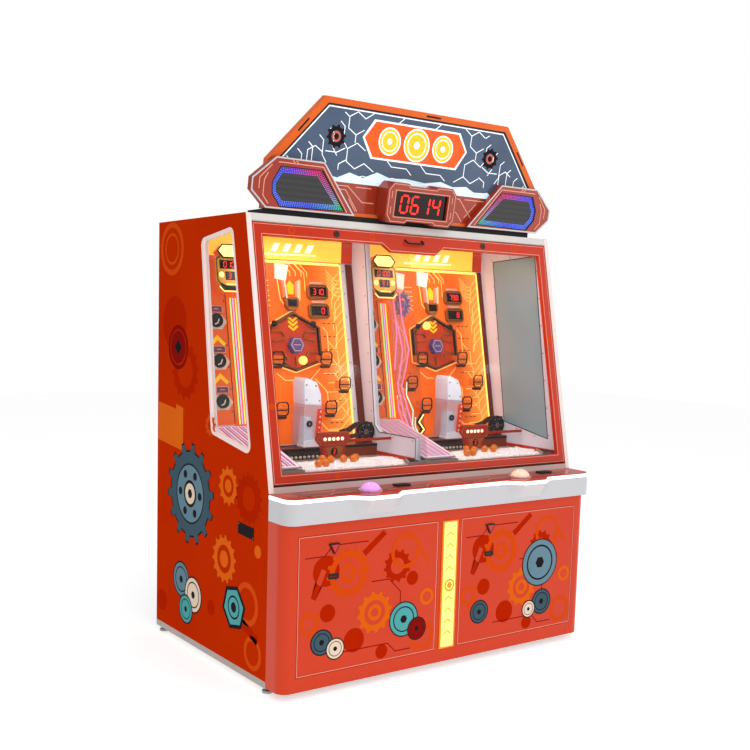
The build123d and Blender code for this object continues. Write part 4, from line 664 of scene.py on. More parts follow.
# Score display: a deep brown-red housing with a face plate and red seven-segment numbers
# behind a dark lens.
SEGMENTS = {"0": "abcdef", "1": "bc", "2": "abged", "3": "abgcd", "4": "fgbc", "5": "afgcd", "6": "afgedc",
    "7": "abc", "8": "abcdefg", "9": "abfgcd"}


def numbers(text, x, y, tall):
    """The lit bars of seven-segment numbers centred on a point."""
    wide, bar, loops = tall * 0.26, tall * 0.055, []
    for k, figure in enumerate(text):
        cx = x + (k - (len(text) - 1) / 2) * tall * 0.80
        for part in SEGMENTS[figure]:
            if part in "adg":
                cy = y + {"a": tall / 2, "g": 0, "d": -tall / 2}[part]
                loop = [(cx - wide + bar, cy), (cx - wide + 2 * bar, cy + bar),
                    (cx + wide - 2 * bar, cy + bar), (cx + wide - bar, cy), (cx + wide - 2 * bar, cy - bar),
                    (cx - wide + 2 * bar, cy - bar)]
            else:
                sx = cx + (wide if part in "bc" else -wide)
                low, high = (0, tall / 2) if part in "bf" else (-tall / 2, 0)
                loop = [(sx, y + low + bar * 0.6), (sx + bar, y + low + 1.7 * bar),
                    (sx + bar, y + high - 1.7 * bar), (sx, y + high - bar * 0.6),
                    (sx - bar, y + high - 1.7 * bar), (sx - bar, y + low + 1.7 * bar)]
            loops.append([(a + (b - y) * 0.08, b) for a, b in loop])
    return loops


digit_red = finish("digit_red", rgb(255, 30, 20), 0.3, rgb(255, 50, 36), glow=1.6, patch=60.0)
lens_dark = finish("lens_dark", rgb(34, 10, 8), 0.14, rgb(22, 6, 6))
give(pod_red, "score_display")
give(lens_dark, "score_lens")
plate = [(-0.180, 0.026), (-0.158, -0.001), (-0.084, -0.001), (-0.073, 0.009), (0.073, 0.009),
    (0.084, -0.001), (0.158, -0.001), (0.180, 0.026), (0.180, 0.128), (0.158, 0.155), (0.084, 0.155),
    (0.073, 0.145), (-0.073, 0.145), (-0.084, 0.155), (-0.158, 0.155), (-0.180, 0.128)]
cut_sheet("score_plate", sign, [plate, four(-0.143, 0.143, 0.022, 0.126)], 0.075, 0.0758, pod_red)
strips("score_plate_lines", sign, [shut(plate), shut(four(-0.147, 0.147, 0.018, 0.130)),
    [(-0.165, 0.030), (-0.165, 0.060)], [(0.165, 0.124), (0.165, 0.094)], [(-0.165, 0.124), (-0.165, 0.094)],
    [(0.165, 0.030), (0.165, 0.060)]], 0.0028, 0.0752, 0.0764, band_pale)
cut_sheet("score_numbers", sign, numbers("0614", 0.0, 0.074, 0.072), 0.0641, 0.0646, digit_red)
heads("score_dots", sign, [[(-0.165, 0.142), (-0.145, 0.142)], [(0.145, 0.006), (0.165, 0.006)]], 0.01, 0.002,
    0.001, 0.0758, plastic_black)


# Inner walls: pale laminated liners and a divider, edged with a black line and screwed down. The
# right-hand wall's glass is an opaque grey sheet, a painted reflection with a painted glow.
# The glow of the liners and of the playfield backs is painted light: they hold no lamp.
wall_white_painted_glow = finish("wall_white_painted_glow", rgb(224, 218, 228), 0.35, rgb(212, 204, 216), coat=0.2, patch=2.0,
    glow=0.16)
# The glass's grey tone is a painted reflection, and its glow is painted light.
glass_painted_reflection = finish("wall_glass_painted_reflection", rgb(120, 146, 154), 0.10, rgb(158, 180, 188), metallic=0.1, bump=0.0,
    patch=2.0, glow=0.16)
post_brown = finish("post_brown_red", rgb(120, 44, 28), 0.35, rgb(100, 34, 22))
give(wall_white_painted_glow, "inner_walls")
opening = [(0.156, 1.784), (-0.142, 1.806), (-0.286, 0.930), (0.025, 0.986)]
around = [(0.166, 1.794), (-0.148, 1.817), (-0.298, 0.916), (0.034, 0.976)]
wall = board((0.7969, 0, 0), (0, -1, 0), (0, 0, 1))
strips("right_wall_window_line", wall, [shut([(-y, z) for y, z in opening])], 0.004, 0, 0.001, plastic_black)
heads("right_wall_screws", wall, [[(-y, z) for y, z in around] + [(-around[0][0], around[0][1])]], 0.13,
    0.004, 0.0018, 0, screw_steel)
strips("right_wall_skirt", wall, [[(-0.045, 0.872), (0.345, 0.872)]], 0.018, 0, 0.001, base_red)
divider = board((-0.0141, 0, 0), (0, -1, 0), (0, 0, 1))
strips("divider_window_line", divider, [[(0.283, 0.968), (0.012, 0.968), (-0.026, 0.999), (-0.150, 1.860)]],
    0.004, 0, 0.001, plastic_black)
strips("divider_front_line", divider, [[(0.2835, 0.966), (0.2835, 0.870)]], 0.003, 0, 0.001, plastic_black)
heads("divider_screws", divider, [[(0.260, 0.955), (-0.020, 0.955)], [(-0.055, 1.060), (-0.150, 1.720)]],
    0.115, 0.004, 0.0018, 0, screw_steel)
strips("divider_skirt", divider, [[(-0.045, 0.872), (0.283, 0.872)]], 0.018, 0, 0.001, base_red)
cut_sheet("right_wall_glass", wall, [[(-y, z) for y, z in opening]], -0.0009, 0.0002, glass_painted_reflection)


# Playfields: lit printed boards that lean back, with line work, a hexagonal target ringed in black,
# two small number displays and a bracket over the target.
def lit_field(name, edge):
    """An orange print whose glow turns yellow towards its right-hand edge: painted light from the lamp strip
    along that edge.
    """
    material = finish(name, rgb(238, 110, 22), 0.35, rgb(186, 58, 8), glow=0.70, patch=4.0)
    nodes, links = material.node_tree.nodes, material.node_tree.links
    shader = nodes["Principled BSDF"]
    place, split, across, mix = (nodes.new(kind) for kind in (
        "ShaderNodeTexCoord", "ShaderNodeSeparateXYZ", "ShaderNodeMapRange", "ShaderNodeMix"))
    across.interpolation_type = "SMOOTHSTEP"
    across.inputs["From Min"].default_value = edge - 0.19
    across.inputs["From Max"].default_value = edge + 0.02
    mix.data_type = "RGBA"
    mix.inputs[7].default_value = rgb(255, 190, 80)
    links.new(place.outputs["Object"], split.inputs["Vector"])
    links.new(split.outputs["X"], across.inputs["Value"])
    links.new(across.outputs["Result"], mix.inputs[0])
    links.new(shader.inputs["Base Color"].links[0].from_socket, mix.inputs[6])
    links.new(mix.outputs[2], shader.inputs["Emission Color"])
    return material


field_line = finish("field_line", rgb(255, 196, 110), 0.3, rgb(255, 170, 80), glow=1.2)
field_glare = finish("field_glare_white", rgb(250, 222, 206), 0.4, rgb(244, 190, 170), glow=0.8)
target_red = finish("target_red", rgb(160, 44, 18), 0.3, rgb(190, 60, 20), glow=0.35, patch=12.0)
target_blue = finish("target_blue", rgb(84, 78, 130), 0.3, rgb(70, 60, 110), glow=0.25)
# The balls' glow is painted light: a ball holds no lamp.
ball_orange_painted_glow = finish("ball_orange_painted_glow", rgb(236, 132, 16), 0.2, rgb(206, 96, 10), coat=0.5, glow=0.12, patch=30.0)
seam_dark = finish("cup_tray_dark", rgb(74, 34, 18), 0.35, rgb(92, 46, 24))
bezel_gold = finish("bezel_gold", rgb(176, 110, 50), 0.35, rgb(140, 80, 34), metallic=0.4)
lamp_warm = finish("lamp_warm", rgb(255, 206, 104), 0.3, rgb(255, 180, 66), glow=2.0)
give(wall_white_painted_glow, "playfield_backs")
FIELD_ORIGIN, FIELD_LEAN = (0, 0.125, 1.080), 0.2
lean = board(FIELD_ORIGIN, (1, 0, 0), (0, FIELD_LEAN, 1))
# The board is longer than its height by this factor.
SLANT = 1.0198
# How far beside the middle the counters sit, and the edges of the print.
COUNT_BESIDE = 0.144
PRINT_LEFT, PRINT_FOOT, PRINT_HEAD = -0.330, 0.918, 1.732
# Each bay: its hand, its left edge, its right edge and the middle of its field.
BAYS = (("left", -0.797, -0.014, -0.365), ("right", 0.014, 0.797, 0.446))


def on_field(centre, points):
    """Points beside a field's middle and at a height, as places on the leaning board."""
    return [(centre + u, (z - FIELD_ORIGIN[2]) * SLANT) for u, z in points]


def grown(loop, middle, factor):
    """An outline made larger or smaller about a height on its centre line."""
    return [(u * factor, middle + (z - middle) * factor) for u, z in loop]


def field_sheet(name, centre, loops, low, high, material, bevel=0.0):
    """Flat outlines on the leaning board, given beside a field's middle."""
    return cut_sheet(name, lean, [on_field(centre, loop) for loop in loops], low, high, material,
        bevel=bevel)


def field_strips(name, centre, runs, width, low, high, material):
    """Narrow lines on the leaning board, given beside a field's middle."""
    return strips(name, lean, [on_field(centre, run) for run in runs], width, low, high, material)


def field_heads(name, centre, runs, spacing, radius, rise, lift, material):
    """Domed heads on the leaning board, given beside a field's middle."""
    return heads(name, lean, [on_field(centre, run) for run in runs], spacing, radius, rise, lift, material)


for hand, centre, edge, counts in (("left", -0.365, 0.290, ("310", "0")),
        ("right", 0.446, 0.326, ("798", "8"))):
    field_sheet(f"field_{hand}_print", centre, [four(PRINT_LEFT, edge, PRINT_FOOT, PRINT_HEAD)], 0, 0.001,
        lit_field(f"field_{hand}_lit", centre + edge))
    diagonal = []
    for k in range(9):
        z = 1.70 - 0.036 * k
        diagonal.append([(edge - 0.006, z), (edge - 0.050 - 0.008 * (k % 3), z - 0.044 - 0.008 * (k % 3)),
            (edge - 0.050 - 0.008 * (k % 3), z - 0.085 - 0.010 * (k % 4))])
    for k in range(8):
        z = 1.33 - 0.042 * k
        diagonal.append([(edge - 0.006, z), (edge - 0.060 - 0.012 * (k % 3), z - 0.060),
            (edge - 0.120 - 0.020 * (k % 2), z - 0.060)])
    for k in range(5):
        diagonal.append([(0.185 + 0.012 * k, 1.375 - 0.075 * k), (0.235 + 0.010 * k, 1.325 - 0.075 * k),
            (0.235 + 0.010 * k, 1.270 - 0.075 * k)])
        diagonal.append([(0.060 - 0.030 * k, 1.725), (0.100 - 0.030 * k, 1.685), (0.100 - 0.030 * k, 1.665)])
        diagonal.append([(0.205, 1.700 - 0.018 * k), (0.250, 1.655 - 0.018 * k), (0.278, 1.655 - 0.018 * k)])
    diagonal += [[(-0.240, 1.480), (-0.180, 1.420), (-0.180, 1.300), (-0.225, 1.255), (-0.225, 1.200)],
        [(0.160, 1.440), (0.185, 1.415), (0.185, 1.330)], [(0.090, 1.030), (0.150, 0.970), (0.200, 0.970),
        (0.240, 0.930)], [(0.100, 1.205), (0.160, 1.145), (0.160, 1.105)]]
    for k in range(6):
        diagonal.append([(-0.250 + 0.012 * k, 1.705 - 0.020 * k), (-0.175 + 0.012 * k, 1.640 - 0.022 * k),
            (-0.105, 1.640 - 0.022 * k)])
        diagonal.append([(-0.250, 1.180 - 0.042 * k), (-0.195 - 0.008 * k, 1.140 - 0.042 * k),
            (-0.195 - 0.008 * k, 1.100 - 0.042 * k)])
    field_strips(f"field_{hand}_lines", centre, diagonal + [
        [(0.130, 1.25), (0.075, 1.20), (0.075, 1.12), (0.12, 1.08)],
        [(-0.10, 1.23), (-0.06, 1.20), (-0.02, 1.20)], [(0.04, 1.72), (0.085, 1.68), (0.085, 1.60)]], 0.0028,
        0.001, 0.0016, field_line)
    field_strips(f"field_{hand}_dashes", centre, [[(u, z), (u + 0.012, z)]
        for z in (1.455, 1.395, 1.335, 1.225, 1.105, 1.005)
        for u in (0.165, 0.192, 0.219)] + [[(u, z), (u + 0.012, z)] for z in (1.540, 1.225, 1.005)
        for u in (-0.225, -0.198, -0.171)], 0.004, 0.001, 0.003, print_dark)
    field_strips(f"field_{hand}_edge_light", centre, [[(edge - 0.005, 0.93), (edge - 0.005, 1.725)]], 0.006,
        0.001, 0.005, lamp_warm)
    field_sheet(f"field_{hand}_post", centre, [four(0.317 if hand == "left" else 0.328, 0.350, 0.930, 1.730)],
        0, 0.010, post_brown)
    if hand == "left":
        field_heads("field_left_strip_screws", centre, [[(0.303, 0.96), (0.303, 1.70)]], 0.105, 0.0035,
            0.0016, 0, screw_steel)
    field_sheet(f"field_{hand}_top_glare", centre, [[(-0.240, 1.640), (-0.165, 1.625), (-0.150, 1.700),
        (-0.240, 1.712)], [(-0.075, 1.650), (-0.020, 1.640), (0.000, 1.712), (-0.070, 1.718)]], 0.001, 0.012,
        field_glare, bevel=0.002)
    field_strips(f"field_{hand}_top_light", centre, [[(PRINT_LEFT + 0.01, 1.7255), (edge - 0.01, 1.7255)]],
        0.011, 0.001, 0.004, lamp_warm)
    hexagon = [(0, 1.502), (0.137, 1.434), (0.137, 1.281), (0, 1.238), (-0.137, 1.281), (-0.137, 1.434)]
    inner = grown(hexagon, 1.365, 0.91)
    field_sheet(f"target_{hand}_rim", centre, [hexagon, inner], 0.001, 0.020, plastic_black, bevel=0.002)
    field_strips(f"target_{hand}_rim_line", centre, [shut(grown(hexagon, 1.365, 0.955))], 0.0035, 0.020,
        0.0206, bezel_gold)
    field_strips(f"target_{hand}_outer_line", centre, [shut(grown(hexagon, 1.365, 1.04))], 0.004, 0.001,
        0.002, field_line)
    field_sheet(f"target_{hand}_floor", centre, [inner], 0.001, 0.006, target_red)
    field_sheet(f"target_{hand}_core", centre, [disc(0.0, 1.352, 0.040, 6)], 0.006, 0.034, target_blue,
        bevel=0.001)
    field_strips(f"target_{hand}_core_line", centre, [shut(disc(0.0, 1.352, 0.031, 6)),
        [(-0.018, 1.352), (0.018, 1.352)]], 0.003, 0.034, 0.0346, print_pink)
    field_strips(f"target_{hand}_chevrons", centre, [[(-0.024, z), (0, z - 0.018), (0.024, z)]
        for z in (1.480, 1.460, 1.440)], 0.009, 0.006, 0.010, coin_yellow)
    field_strips(f"target_{hand}_ribs", centre, [[(-0.118, 1.415), (-0.065, 1.415), (-0.050, 1.395)],
        [(0.118, 1.415), (0.065, 1.415), (0.050, 1.395)], [(-0.118, 1.325), (-0.070, 1.325), (-0.045, 1.290)],
        [(0.118, 1.325), (0.070, 1.325), (0.050, 1.295)], [(-0.090, 1.290), (-0.045, 1.270)],
        [(-0.070, 1.448), (-0.115, 1.426)], [(0.070, 1.448), (0.115, 1.426)],
        [(-0.050, 1.385), (-0.110, 1.372)], [(0.050, 1.385), (0.110, 1.372)], [(0.0, 1.300), (0.0, 1.262)]],
        0.005, 0.006, 0.016, bezel_gold)
    spot = (0.030, 1.285) if hand == "left" else (-0.050, 1.452)
    field_heads(f"target_{hand}_ball", centre, [[spot, (spot[0] + 0.001, spot[1])]], 1.0, 0.020, 0.020, 0.020,
        lamp_warm)
    field_heads(f"target_{hand}_studs", centre, [[(u, 1.448), (u + 0.003, 1.448)] for u in (-0.104, 0.100)],
        1.0, 0.014, 0.010, 0.020, plastic_black)
    for k, (z, text) in enumerate(((1.595, counts[0]), (1.509, counts[1]))):
        u = COUNT_BESIDE
        bezel = [(u - 0.056, z - 0.022), (u - 0.044, z - 0.034), (u + 0.044, z - 0.034),
            (u + 0.056, z - 0.022), (u + 0.056, z + 0.022), (u + 0.044, z + 0.034), (u - 0.044, z + 0.034),
            (u - 0.056, z + 0.022)]
        field_sheet(f"count_{hand}_{k}_bezel", centre, [bezel], 0.001, 0.018, bezel_gold, bevel=0.002)
        field_strips(f"count_{hand}_{k}_line", centre, [shut([(u + (a - u) * 0.88, z + (b - z) * 0.84)
            for a, b in bezel])], 0.0022, 0.018, 0.0186, plastic_black)
        field_sheet(f"count_{hand}_{k}_screen", centre, [four(u - 0.044, u + 0.044, z - 0.021, z + 0.021)],
            0.018, 0.019, lens_dark)
        place = on_field(centre, [(u + (0.018 if len(text) == 1 else 0.0), z)])[0]
        cut_sheet(f"count_{hand}_{k}_numbers", lean, numbers(text, *place, 0.026), 0.019, 0.0196, digit_red)
        field_strips(f"count_{hand}_{k}_label", centre, [[(u - 0.034, z + 0.042), (u + 0.034, z + 0.042)]],
            0.010, 0.001, 0.010, band_pale)
    field_strips(f"bracket_{hand}_arms", centre, [[(-0.036, 1.640), (-0.030, 1.560)],
        [(0.036, 1.640), (0.030, 1.560)]], 0.007, 0.001, 0.026, print_cream)
    field_strips(f"bracket_{hand}_glow", centre, [[(-0.060, 1.650), (-0.052, 1.560), (-0.030, 1.530)],
        [(0.060, 1.650), (0.052, 1.560), (0.030, 1.530)]], 0.003, 0.001, 0.004, field_line)
    field_sheet(f"bracket_{hand}_plate", centre, [[(-0.040, 1.566), (0.040, 1.566), (0.034, 1.524),
        (0.016, 1.506), (-0.016, 1.506), (-0.034, 1.524)]], 0.001, 0.022, bezel_gold, bevel=0.002)
    field_sheet(f"bracket_{hand}_screen", centre, [four(-0.024, 0.024, 1.524, 1.556)], 0.022, 0.023,
        lens_dark)
    field_sheet(f"bracket_{hand}_crest", centre, [[(-0.014, 1.580), (0.014, 1.580), (0.019, 1.620),
        (0.0, 1.642), (-0.019, 1.620)]], 0.001, 0.014, coin_yellow, bevel=0.002)


# Ball cups: small moulded baskets in clear orange plastic, fixed to the playfield around its target,
# each with a black rim and a cross bar at the front that keeps a ball in.
# The cups' glow is painted light: the cups hold no lamp.
cup_clear = finish("cup_clear", rgb(236, 116, 40), 0.12, rgb(250, 150, 70), alpha=0.50, glow=0.12, bump=0.0)
give(cup_clear, "ball_cups")
# The front of a cup stands this far out from the board.
CUP_DEEP = 0.0461
for hand, _, _, centre in BAYS:
    for k, (dx, z) in enumerate(((-0.116, 1.277), (0.136, 1.277), (-0.192, 1.163), (0.226, 1.163),
            (-0.116, 1.057), (0.140, 1.057))):
        cup_front = board((centre + dx, FIELD_ORIGIN[1] + (z - FIELD_ORIGIN[2]) * FIELD_LEAN - CUP_DEEP, z),
            (1, 0, 0), (0, 0, 1))
        strips(f"cup_{hand}_{k}_rim", cup_front, [shut([(-0.020, -0.006), (0.020, -0.006), (0.029, 0.004),
            (0.029, 0.040), (0.020, 0.052), (-0.020, 0.052), (-0.029, 0.040), (-0.029, 0.004)]),
            [(-0.027, 0.018), (0.027, 0.018)]], 0.0045, 0, 0.005, plastic_black)
        cut_sheet(f"cup_{hand}_{k}_tray", cup_front, [[(-0.024, -0.010), (0.024, -0.010), (0.018, -0.022),
            (-0.018, -0.022)]], -0.020, 0.004, seam_dark, bevel=0.001)


# Dispenser towers: a white moulded head over a clear box that shows its ball feeder, standing on a
# white foot in each bay, with a red chute at its side.
# The glow of the towers' white and clear parts and of the red chute is painted light: the towers hold no
# lamp.
tower_white = finish("tower_white", rgb(226, 226, 234), 0.25, rgb(196, 200, 214), coat=0.2, glow=0.26,
    patch=14.0)
tower_clear_painted_glow = finish("tower_clear_painted_glow", rgb(170, 178, 196), 0.08, rgb(196, 200, 214), alpha=0.42, glow=0.12,
    bump=0.0)
chute_red_painted_glow = finish("chute_red_painted_glow", rgb(220, 62, 20), 0.3, rgb(200, 50, 16), glow=0.35)
for hand, _, _, centre in BAYS:
    x = centre - 0.012
    tower = board((x, 0.050, 0), (1, 0, 0), (0, 0, 1))
    box_piece = cut_sheet(f"tower_{hand}_box", tower, [[(-0.048, 0.922), (0.048, 0.922), (0.048, 1.086),
        (0.040, 1.100), (-0.042, 1.104), (-0.048, 1.094)]], -0.030, 0.064, tower_clear_painted_glow,
        bevel=0.003)
    cut_sheet(f"tower_{hand}_head", tower, [[(-0.042, 1.104), (0.040, 1.100), (0.048, 1.090), (0.044, 1.146),
        (0.022, 1.200), (-0.036, 1.222), (-0.046, 1.200), (-0.044, 1.140)]], -0.040, 0.060, tower_white,
        bevel=0.006)
    cut_sheet(f"tower_{hand}_feeder", tower, [[(-0.038, 0.930), (0.004, 0.930), (0.008, 0.985),
        (-0.004, 1.050), (-0.030, 1.050), (-0.040, 1.000)]], 0.006, 0.056, tower_white,
        bevel=0.004)
    cut_sheet(f"tower_{hand}_foot", tower, [[(-0.050, 0.918), (0.050, 0.918), (0.046, 0.952),
        (-0.046, 0.946)]], 0.010, 0.070, tower_white, bevel=0.003)
    cut_sheet(f"tower_{hand}_hub", tower, discs(-0.020, 1.020, 0.014, 0.005), 0.064, 0.070, plastic_black,
        bevel=0.001)
    cut_sheet(f"tower_{hand}_chute", tower, [[(0.010, 0.945), (0.034, 0.945), (0.047, 1.084),
        (0.022, 1.084)]], 0.0645, 0.070, chute_red_painted_glow, bevel=0.001)
    heads(f"tower_{hand}_chute_dots", tower, [[(0.024, 0.956), (0.035, 1.072)]], 0.023, 0.005, 0.003, 0.070,
        print_cream)
    heads(f"tower_{hand}_screws", tower, [[(-0.034, 1.125), (0.034, 1.120)],
        [(-0.034, 1.190), (0.014, 1.185)]], 0.060, 0.004, 0.002, 0.060, bezel_gold)
    if hand == "left":
        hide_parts("dispenser_towers")


# Banners and prize signs: lit yellow banners over the fields with plain slanted bars, and a red
# plate over a small number display held out over each bed.
banner_lit = finish("banner_lit", rgb(250, 176, 40), 0.3, rgb(255, 206, 90), glow=0.9, patch=4.0)
banner_red = finish("banner_red", rgb(206, 60, 20), 0.3, rgb(186, 46, 16), glow=0.35)
banner_pale = finish("banner_pale", rgb(255, 240, 214), 0.3, rgb(255, 226, 180), glow=1.1)
# The red sign plates' glow is painted light: the plates hold no lamp.
sign_red_painted_glow = finish("sign_red_painted_glow", rgb(170, 44, 22), 0.3, rgb(150, 34, 18), glow=0.12)
give(sign_red_painted_glow, "field_signs")
banner = board((0, 0.2459, 0), (1, 0, 0), (0, 0, 1))
for hand, low, high, centre in BAYS:
    cut_sheet(f"banner_{hand}", banner, [four(low + 0.001, high - 0.062, 1.736, 1.865)], 0, 0.001, banner_lit)
    cut_sheet(f"banner_{hand}_end", banner, [four(high - 0.062, high - 0.001, 1.736, 1.865)], 0, 0.001,
        banner_red)
    cut_sheet(f"banner_{hand}_bars", banner, [[(low + dx, 1.772), (low + dx + 0.030, 1.772),
        (low + dx + 0.050, 1.808), (low + dx + 0.020, 1.808)]
        for dx in (0.34, 0.40, 0.46, 0.52)] + [[(low + 0.28, 1.754), (low + 0.58, 1.760), (low + 0.58, 1.765),
        (low + 0.28, 1.760)]], 0.001, 0.0016, banner_pale)
    x = centre + 0.028
    plate_face = board((x, -0.1201, 0), (1, 0, 0), (0, 0, 1))
    edge = [(-0.062, 0.938), (0.062, 0.938), (0.084, 0.961), (0.073, 0.988), (-0.073, 0.988), (-0.084, 0.961)]
    strips(f"prize_{hand}_line", plate_face, [shut(edge)], 0.003, 0, 0.001, bezel_gold)
    cut_sheet(f"prize_{hand}_dots", plate_face, [disc(dx, 0.963, 0.009, 5, pi / 2)
        for dx in (-0.045, -0.022, 0.0, 0.022, 0.045)], 0, 0.001, banner_pale)
    unit_face = board((x, -0.1241, 0), (1, 0, 0), (0, 0, 1))
    cut_sheet(f"prize_{hand}_bezel", unit_face, [[(-0.048, 0.929), (0.048, 0.929), (0.040, 0.889),
        (-0.040, 0.889)], disc(0, 0.908, 0.019, 8, pi / 8)], 0, 0.003, bezel_gold)
    cut_sheet(f"prize_{hand}_screen", unit_face, [disc(0, 0.908, 0.019, 8, pi / 8)], 0, 0.001, lens_dark)
    cut_sheet(f"prize_{hand}_number", unit_face, numbers("3", 0, 0.908, 0.020), 0.001, 0.0016, digit_red)
    cut_sheet(f"prize_{hand}_legs", unit_face, [[(-0.058, 0.932), (-0.044, 0.932), (-0.030, 0.880),
        (-0.044, 0.880)], [(0.058, 0.932), (0.044, 0.932), (0.030, 0.880), (0.044, 0.880)]], 0.0005, 0.004,
        sign_red_painted_glow)


# Lift wheels: slate-grey moulded wheels with a dark tyre and a ring of holes, turning on a short
# axle, each beside an angular dark guard fixed to the surround.
# The wheels' glow is painted light: the wheels hold no lamp.
wheel_painted_glow = finish("lift_wheel_pale", rgb(126, 142, 166), 0.3, rgb(96, 108, 130), coat=0.3, glow=0.08)
guard_dark = finish("guard_dark", rgb(60, 36, 30), 0.35, rgb(80, 50, 40))
give(wheel_painted_glow, "lift_wheel_left", "lift_wheel_right")
for hand, x in (("left", -0.065), ("right", 0.746)):
    wheel_face = board((x, 0.020, 0.968), (1, 0, 0), (0, 0, 1))
    cut_sheet(f"lift_{hand}_tyre", wheel_face, [disc(0, 0, 0.0475, 56), disc(0, 0, 0.038, 56)], -0.010, 0.001,
        plastic_black, f"lift_wheel_{hand}", 0.001)
    cut_sheet(f"lift_{hand}_web", wheel_face, [disc(0, 0, 0.030, 48),
        disc(0, 0, 0.0125, 48)] + [disc(0.021 * cos(k * pi / 4), 0.021 * sin(k * pi / 4), 0.0045, 16)
        for k in range(8)], -0.002, 0.001, plastic_black, f"lift_wheel_{hand}")
    cut_sheet(f"lift_{hand}_hub", wheel_face, [disc(0, 0, 0.011, 6)], 0.003, 0.0042, bezel_gold,
        f"lift_wheel_{hand}")
    guard = board((x - 0.086, 0.012, 0.968), (1, 0, 0), (0, 0, 1))
    cut_sheet(f"lift_{hand}_guard", guard, [[(-0.070, -0.010), (-0.010, 0.006), (0.036, 0.040),
        (0.046, 0.052), (0.010, 0.046), (-0.030, 0.024), (-0.070, 0.016)],
        [(-0.050, -0.030), (0.036, -0.020), (0.030, 0.000), (-0.040, -0.012)]], 0, 0.010, guard_dark,
        bevel=0.001)


# Feature columns: printed boards on the left of each field with a gold shield display, three
# pointer dials and yellow chevrons.
column_print = finish("column_print", rgb(220, 96, 34), 0.3, rgb(200, 76, 26), glow=0.45, patch=5.0)
shield_gold = finish("shield_gold", rgb(226, 170, 60), 0.28, rgb(190, 128, 40), metallic=0.3, coat=0.4,
    glow=0.2, patch=14.0)
lamp_yellow = finish("lamp_yellow", rgb(255, 220, 90), 0.3, rgb(255, 236, 150), glow=2.0)
dial_plate = finish("dial_plate_violet", rgb(120, 66, 84), 0.3, rgb(96, 50, 70), glow=0.15)
give(column_print, "feature_columns")
for hand, low, _, _ in BAYS:
    x = low + 0.100
    shield = [(-0.044, 1.568), (0.044, 1.568), (0.074, 1.612), (0.074, 1.708), (0.052, 1.722),
        (-0.052, 1.722), (-0.074, 1.708), (-0.074, 1.612)]
    field_sheet(f"shield_{hand}_face", x, [shield], 0.080, 0.083, shield_gold,
        bevel=0.001)
    field_strips(f"shield_{hand}_line", x, [shut(grown(shield, 1.645, 0.92))], 0.004, 0.083, 0.084,
        plastic_black)
    crown = [(-0.040, 1.708), (0.040, 1.708), (0.064, 1.735), (0.040, 1.762), (-0.040, 1.762),
        (-0.064, 1.735)]
    field_sheet(f"shield_{hand}_crown", x, [crown], 0.090, 0.094, lamp_yellow,
        bevel=0.001)
    field_strips(f"shield_{hand}_crown_line", x, [shut(crown)], 0.005, 0.090, 0.096, plastic_black)
    for k, (z, half, text) in enumerate(((1.680, 0.054, "0100"), (1.633, 0.030, "31"))):
        field_sheet(f"shield_{hand}_screen_{k}", x, [four(-half, half, z - 0.018, z + 0.018)], 0.083, 0.084,
            lens_dark)
        cut_sheet(f"shield_{hand}_numbers_{k}", lean, numbers(text, *on_field(x, [(0, z)])[0], 0.024), 0.084,
            0.0846, digit_red)
    field_heads(f"shield_{hand}_lamps", x, [[(u, 1.636), (u, 1.637)] for u in (-0.048, 0.048)], 1.0, 0.012,
        0.006, 0.083, lamp_yellow)
    field_sheet(f"shield_{hand}_tip", x, [[(-0.060, 1.604), (-0.030, 1.590), (0.030, 1.590), (0.060, 1.604),
        (0.034, 1.574), (-0.034, 1.574)]], 0.083, 0.087, plastic_black)
    field_strips(f"shield_{hand}_tip_line", x, [[(-0.030, 1.596), (0.030, 1.596)],
        both([(0.044, 1.566), (0.064, 1.585)])], 0.004, 0.087, 0.088, lamp_yellow)
    x = low + 0.046
    for k, z in enumerate((1.455, 1.284, 1.113)):
        field_sheet(f"dial_{hand}_{k}_plate", x, [four(-0.030, 0.032, z + 0.033, z + 0.064)], 0.010, 0.018,
            dial_plate, bevel=0.001)
        field_strips(f"dial_{hand}_{k}_plate_line", x, [shut(four(-0.028, 0.030, z + 0.035, z + 0.062)),
            [(-0.010, z + 0.049), (0.012, z + 0.049)]], 0.003, 0.018, 0.0186, band_pale)
        field_sheet(f"dial_{hand}_{k}_tab", x, [[(-0.034, z - 0.036), (0.026, z - 0.036), (0.051, z - 0.004),
            (0.030, z + 0.024), (-0.034, z + 0.032)]], 0.010, 0.014, print_cream,
            bevel=0.001)
        field_sheet(f"dial_{hand}_{k}_cup", x - 0.002, [disc(0, z, 0.029)], 0.014, 0.026, plastic_black,
            bevel=0.003)
        field_strips(f"dial_{hand}_{k}_pointer", x - 0.002,
            [[(-0.012, z - 0.017), (0.002, z - 0.012), (0.010, z + 0.006)]], 0.005, 0.026, 0.0268,
            print_cream)
    field_strips(f"column_{hand}_chevrons", x, [[(-0.034, z), (0, z + 0.032), (0.034, z)]
        for z in (1.352, 1.190)], 0.016, 0.010, 0.0108, coin_yellow)
    field_strips(f"column_{hand}_edge", low, [[(0.099, 1.02), (0.099, 1.725)]], 0.003, 0.010, 0.0115,
        plastic_black)
    field_heads(f"column_{hand}_edge_screws", low, [[(0.090, 1.07), (0.090, 1.54)]], 0.094, 0.0035, 0.0016,
        0.010, plastic_black)


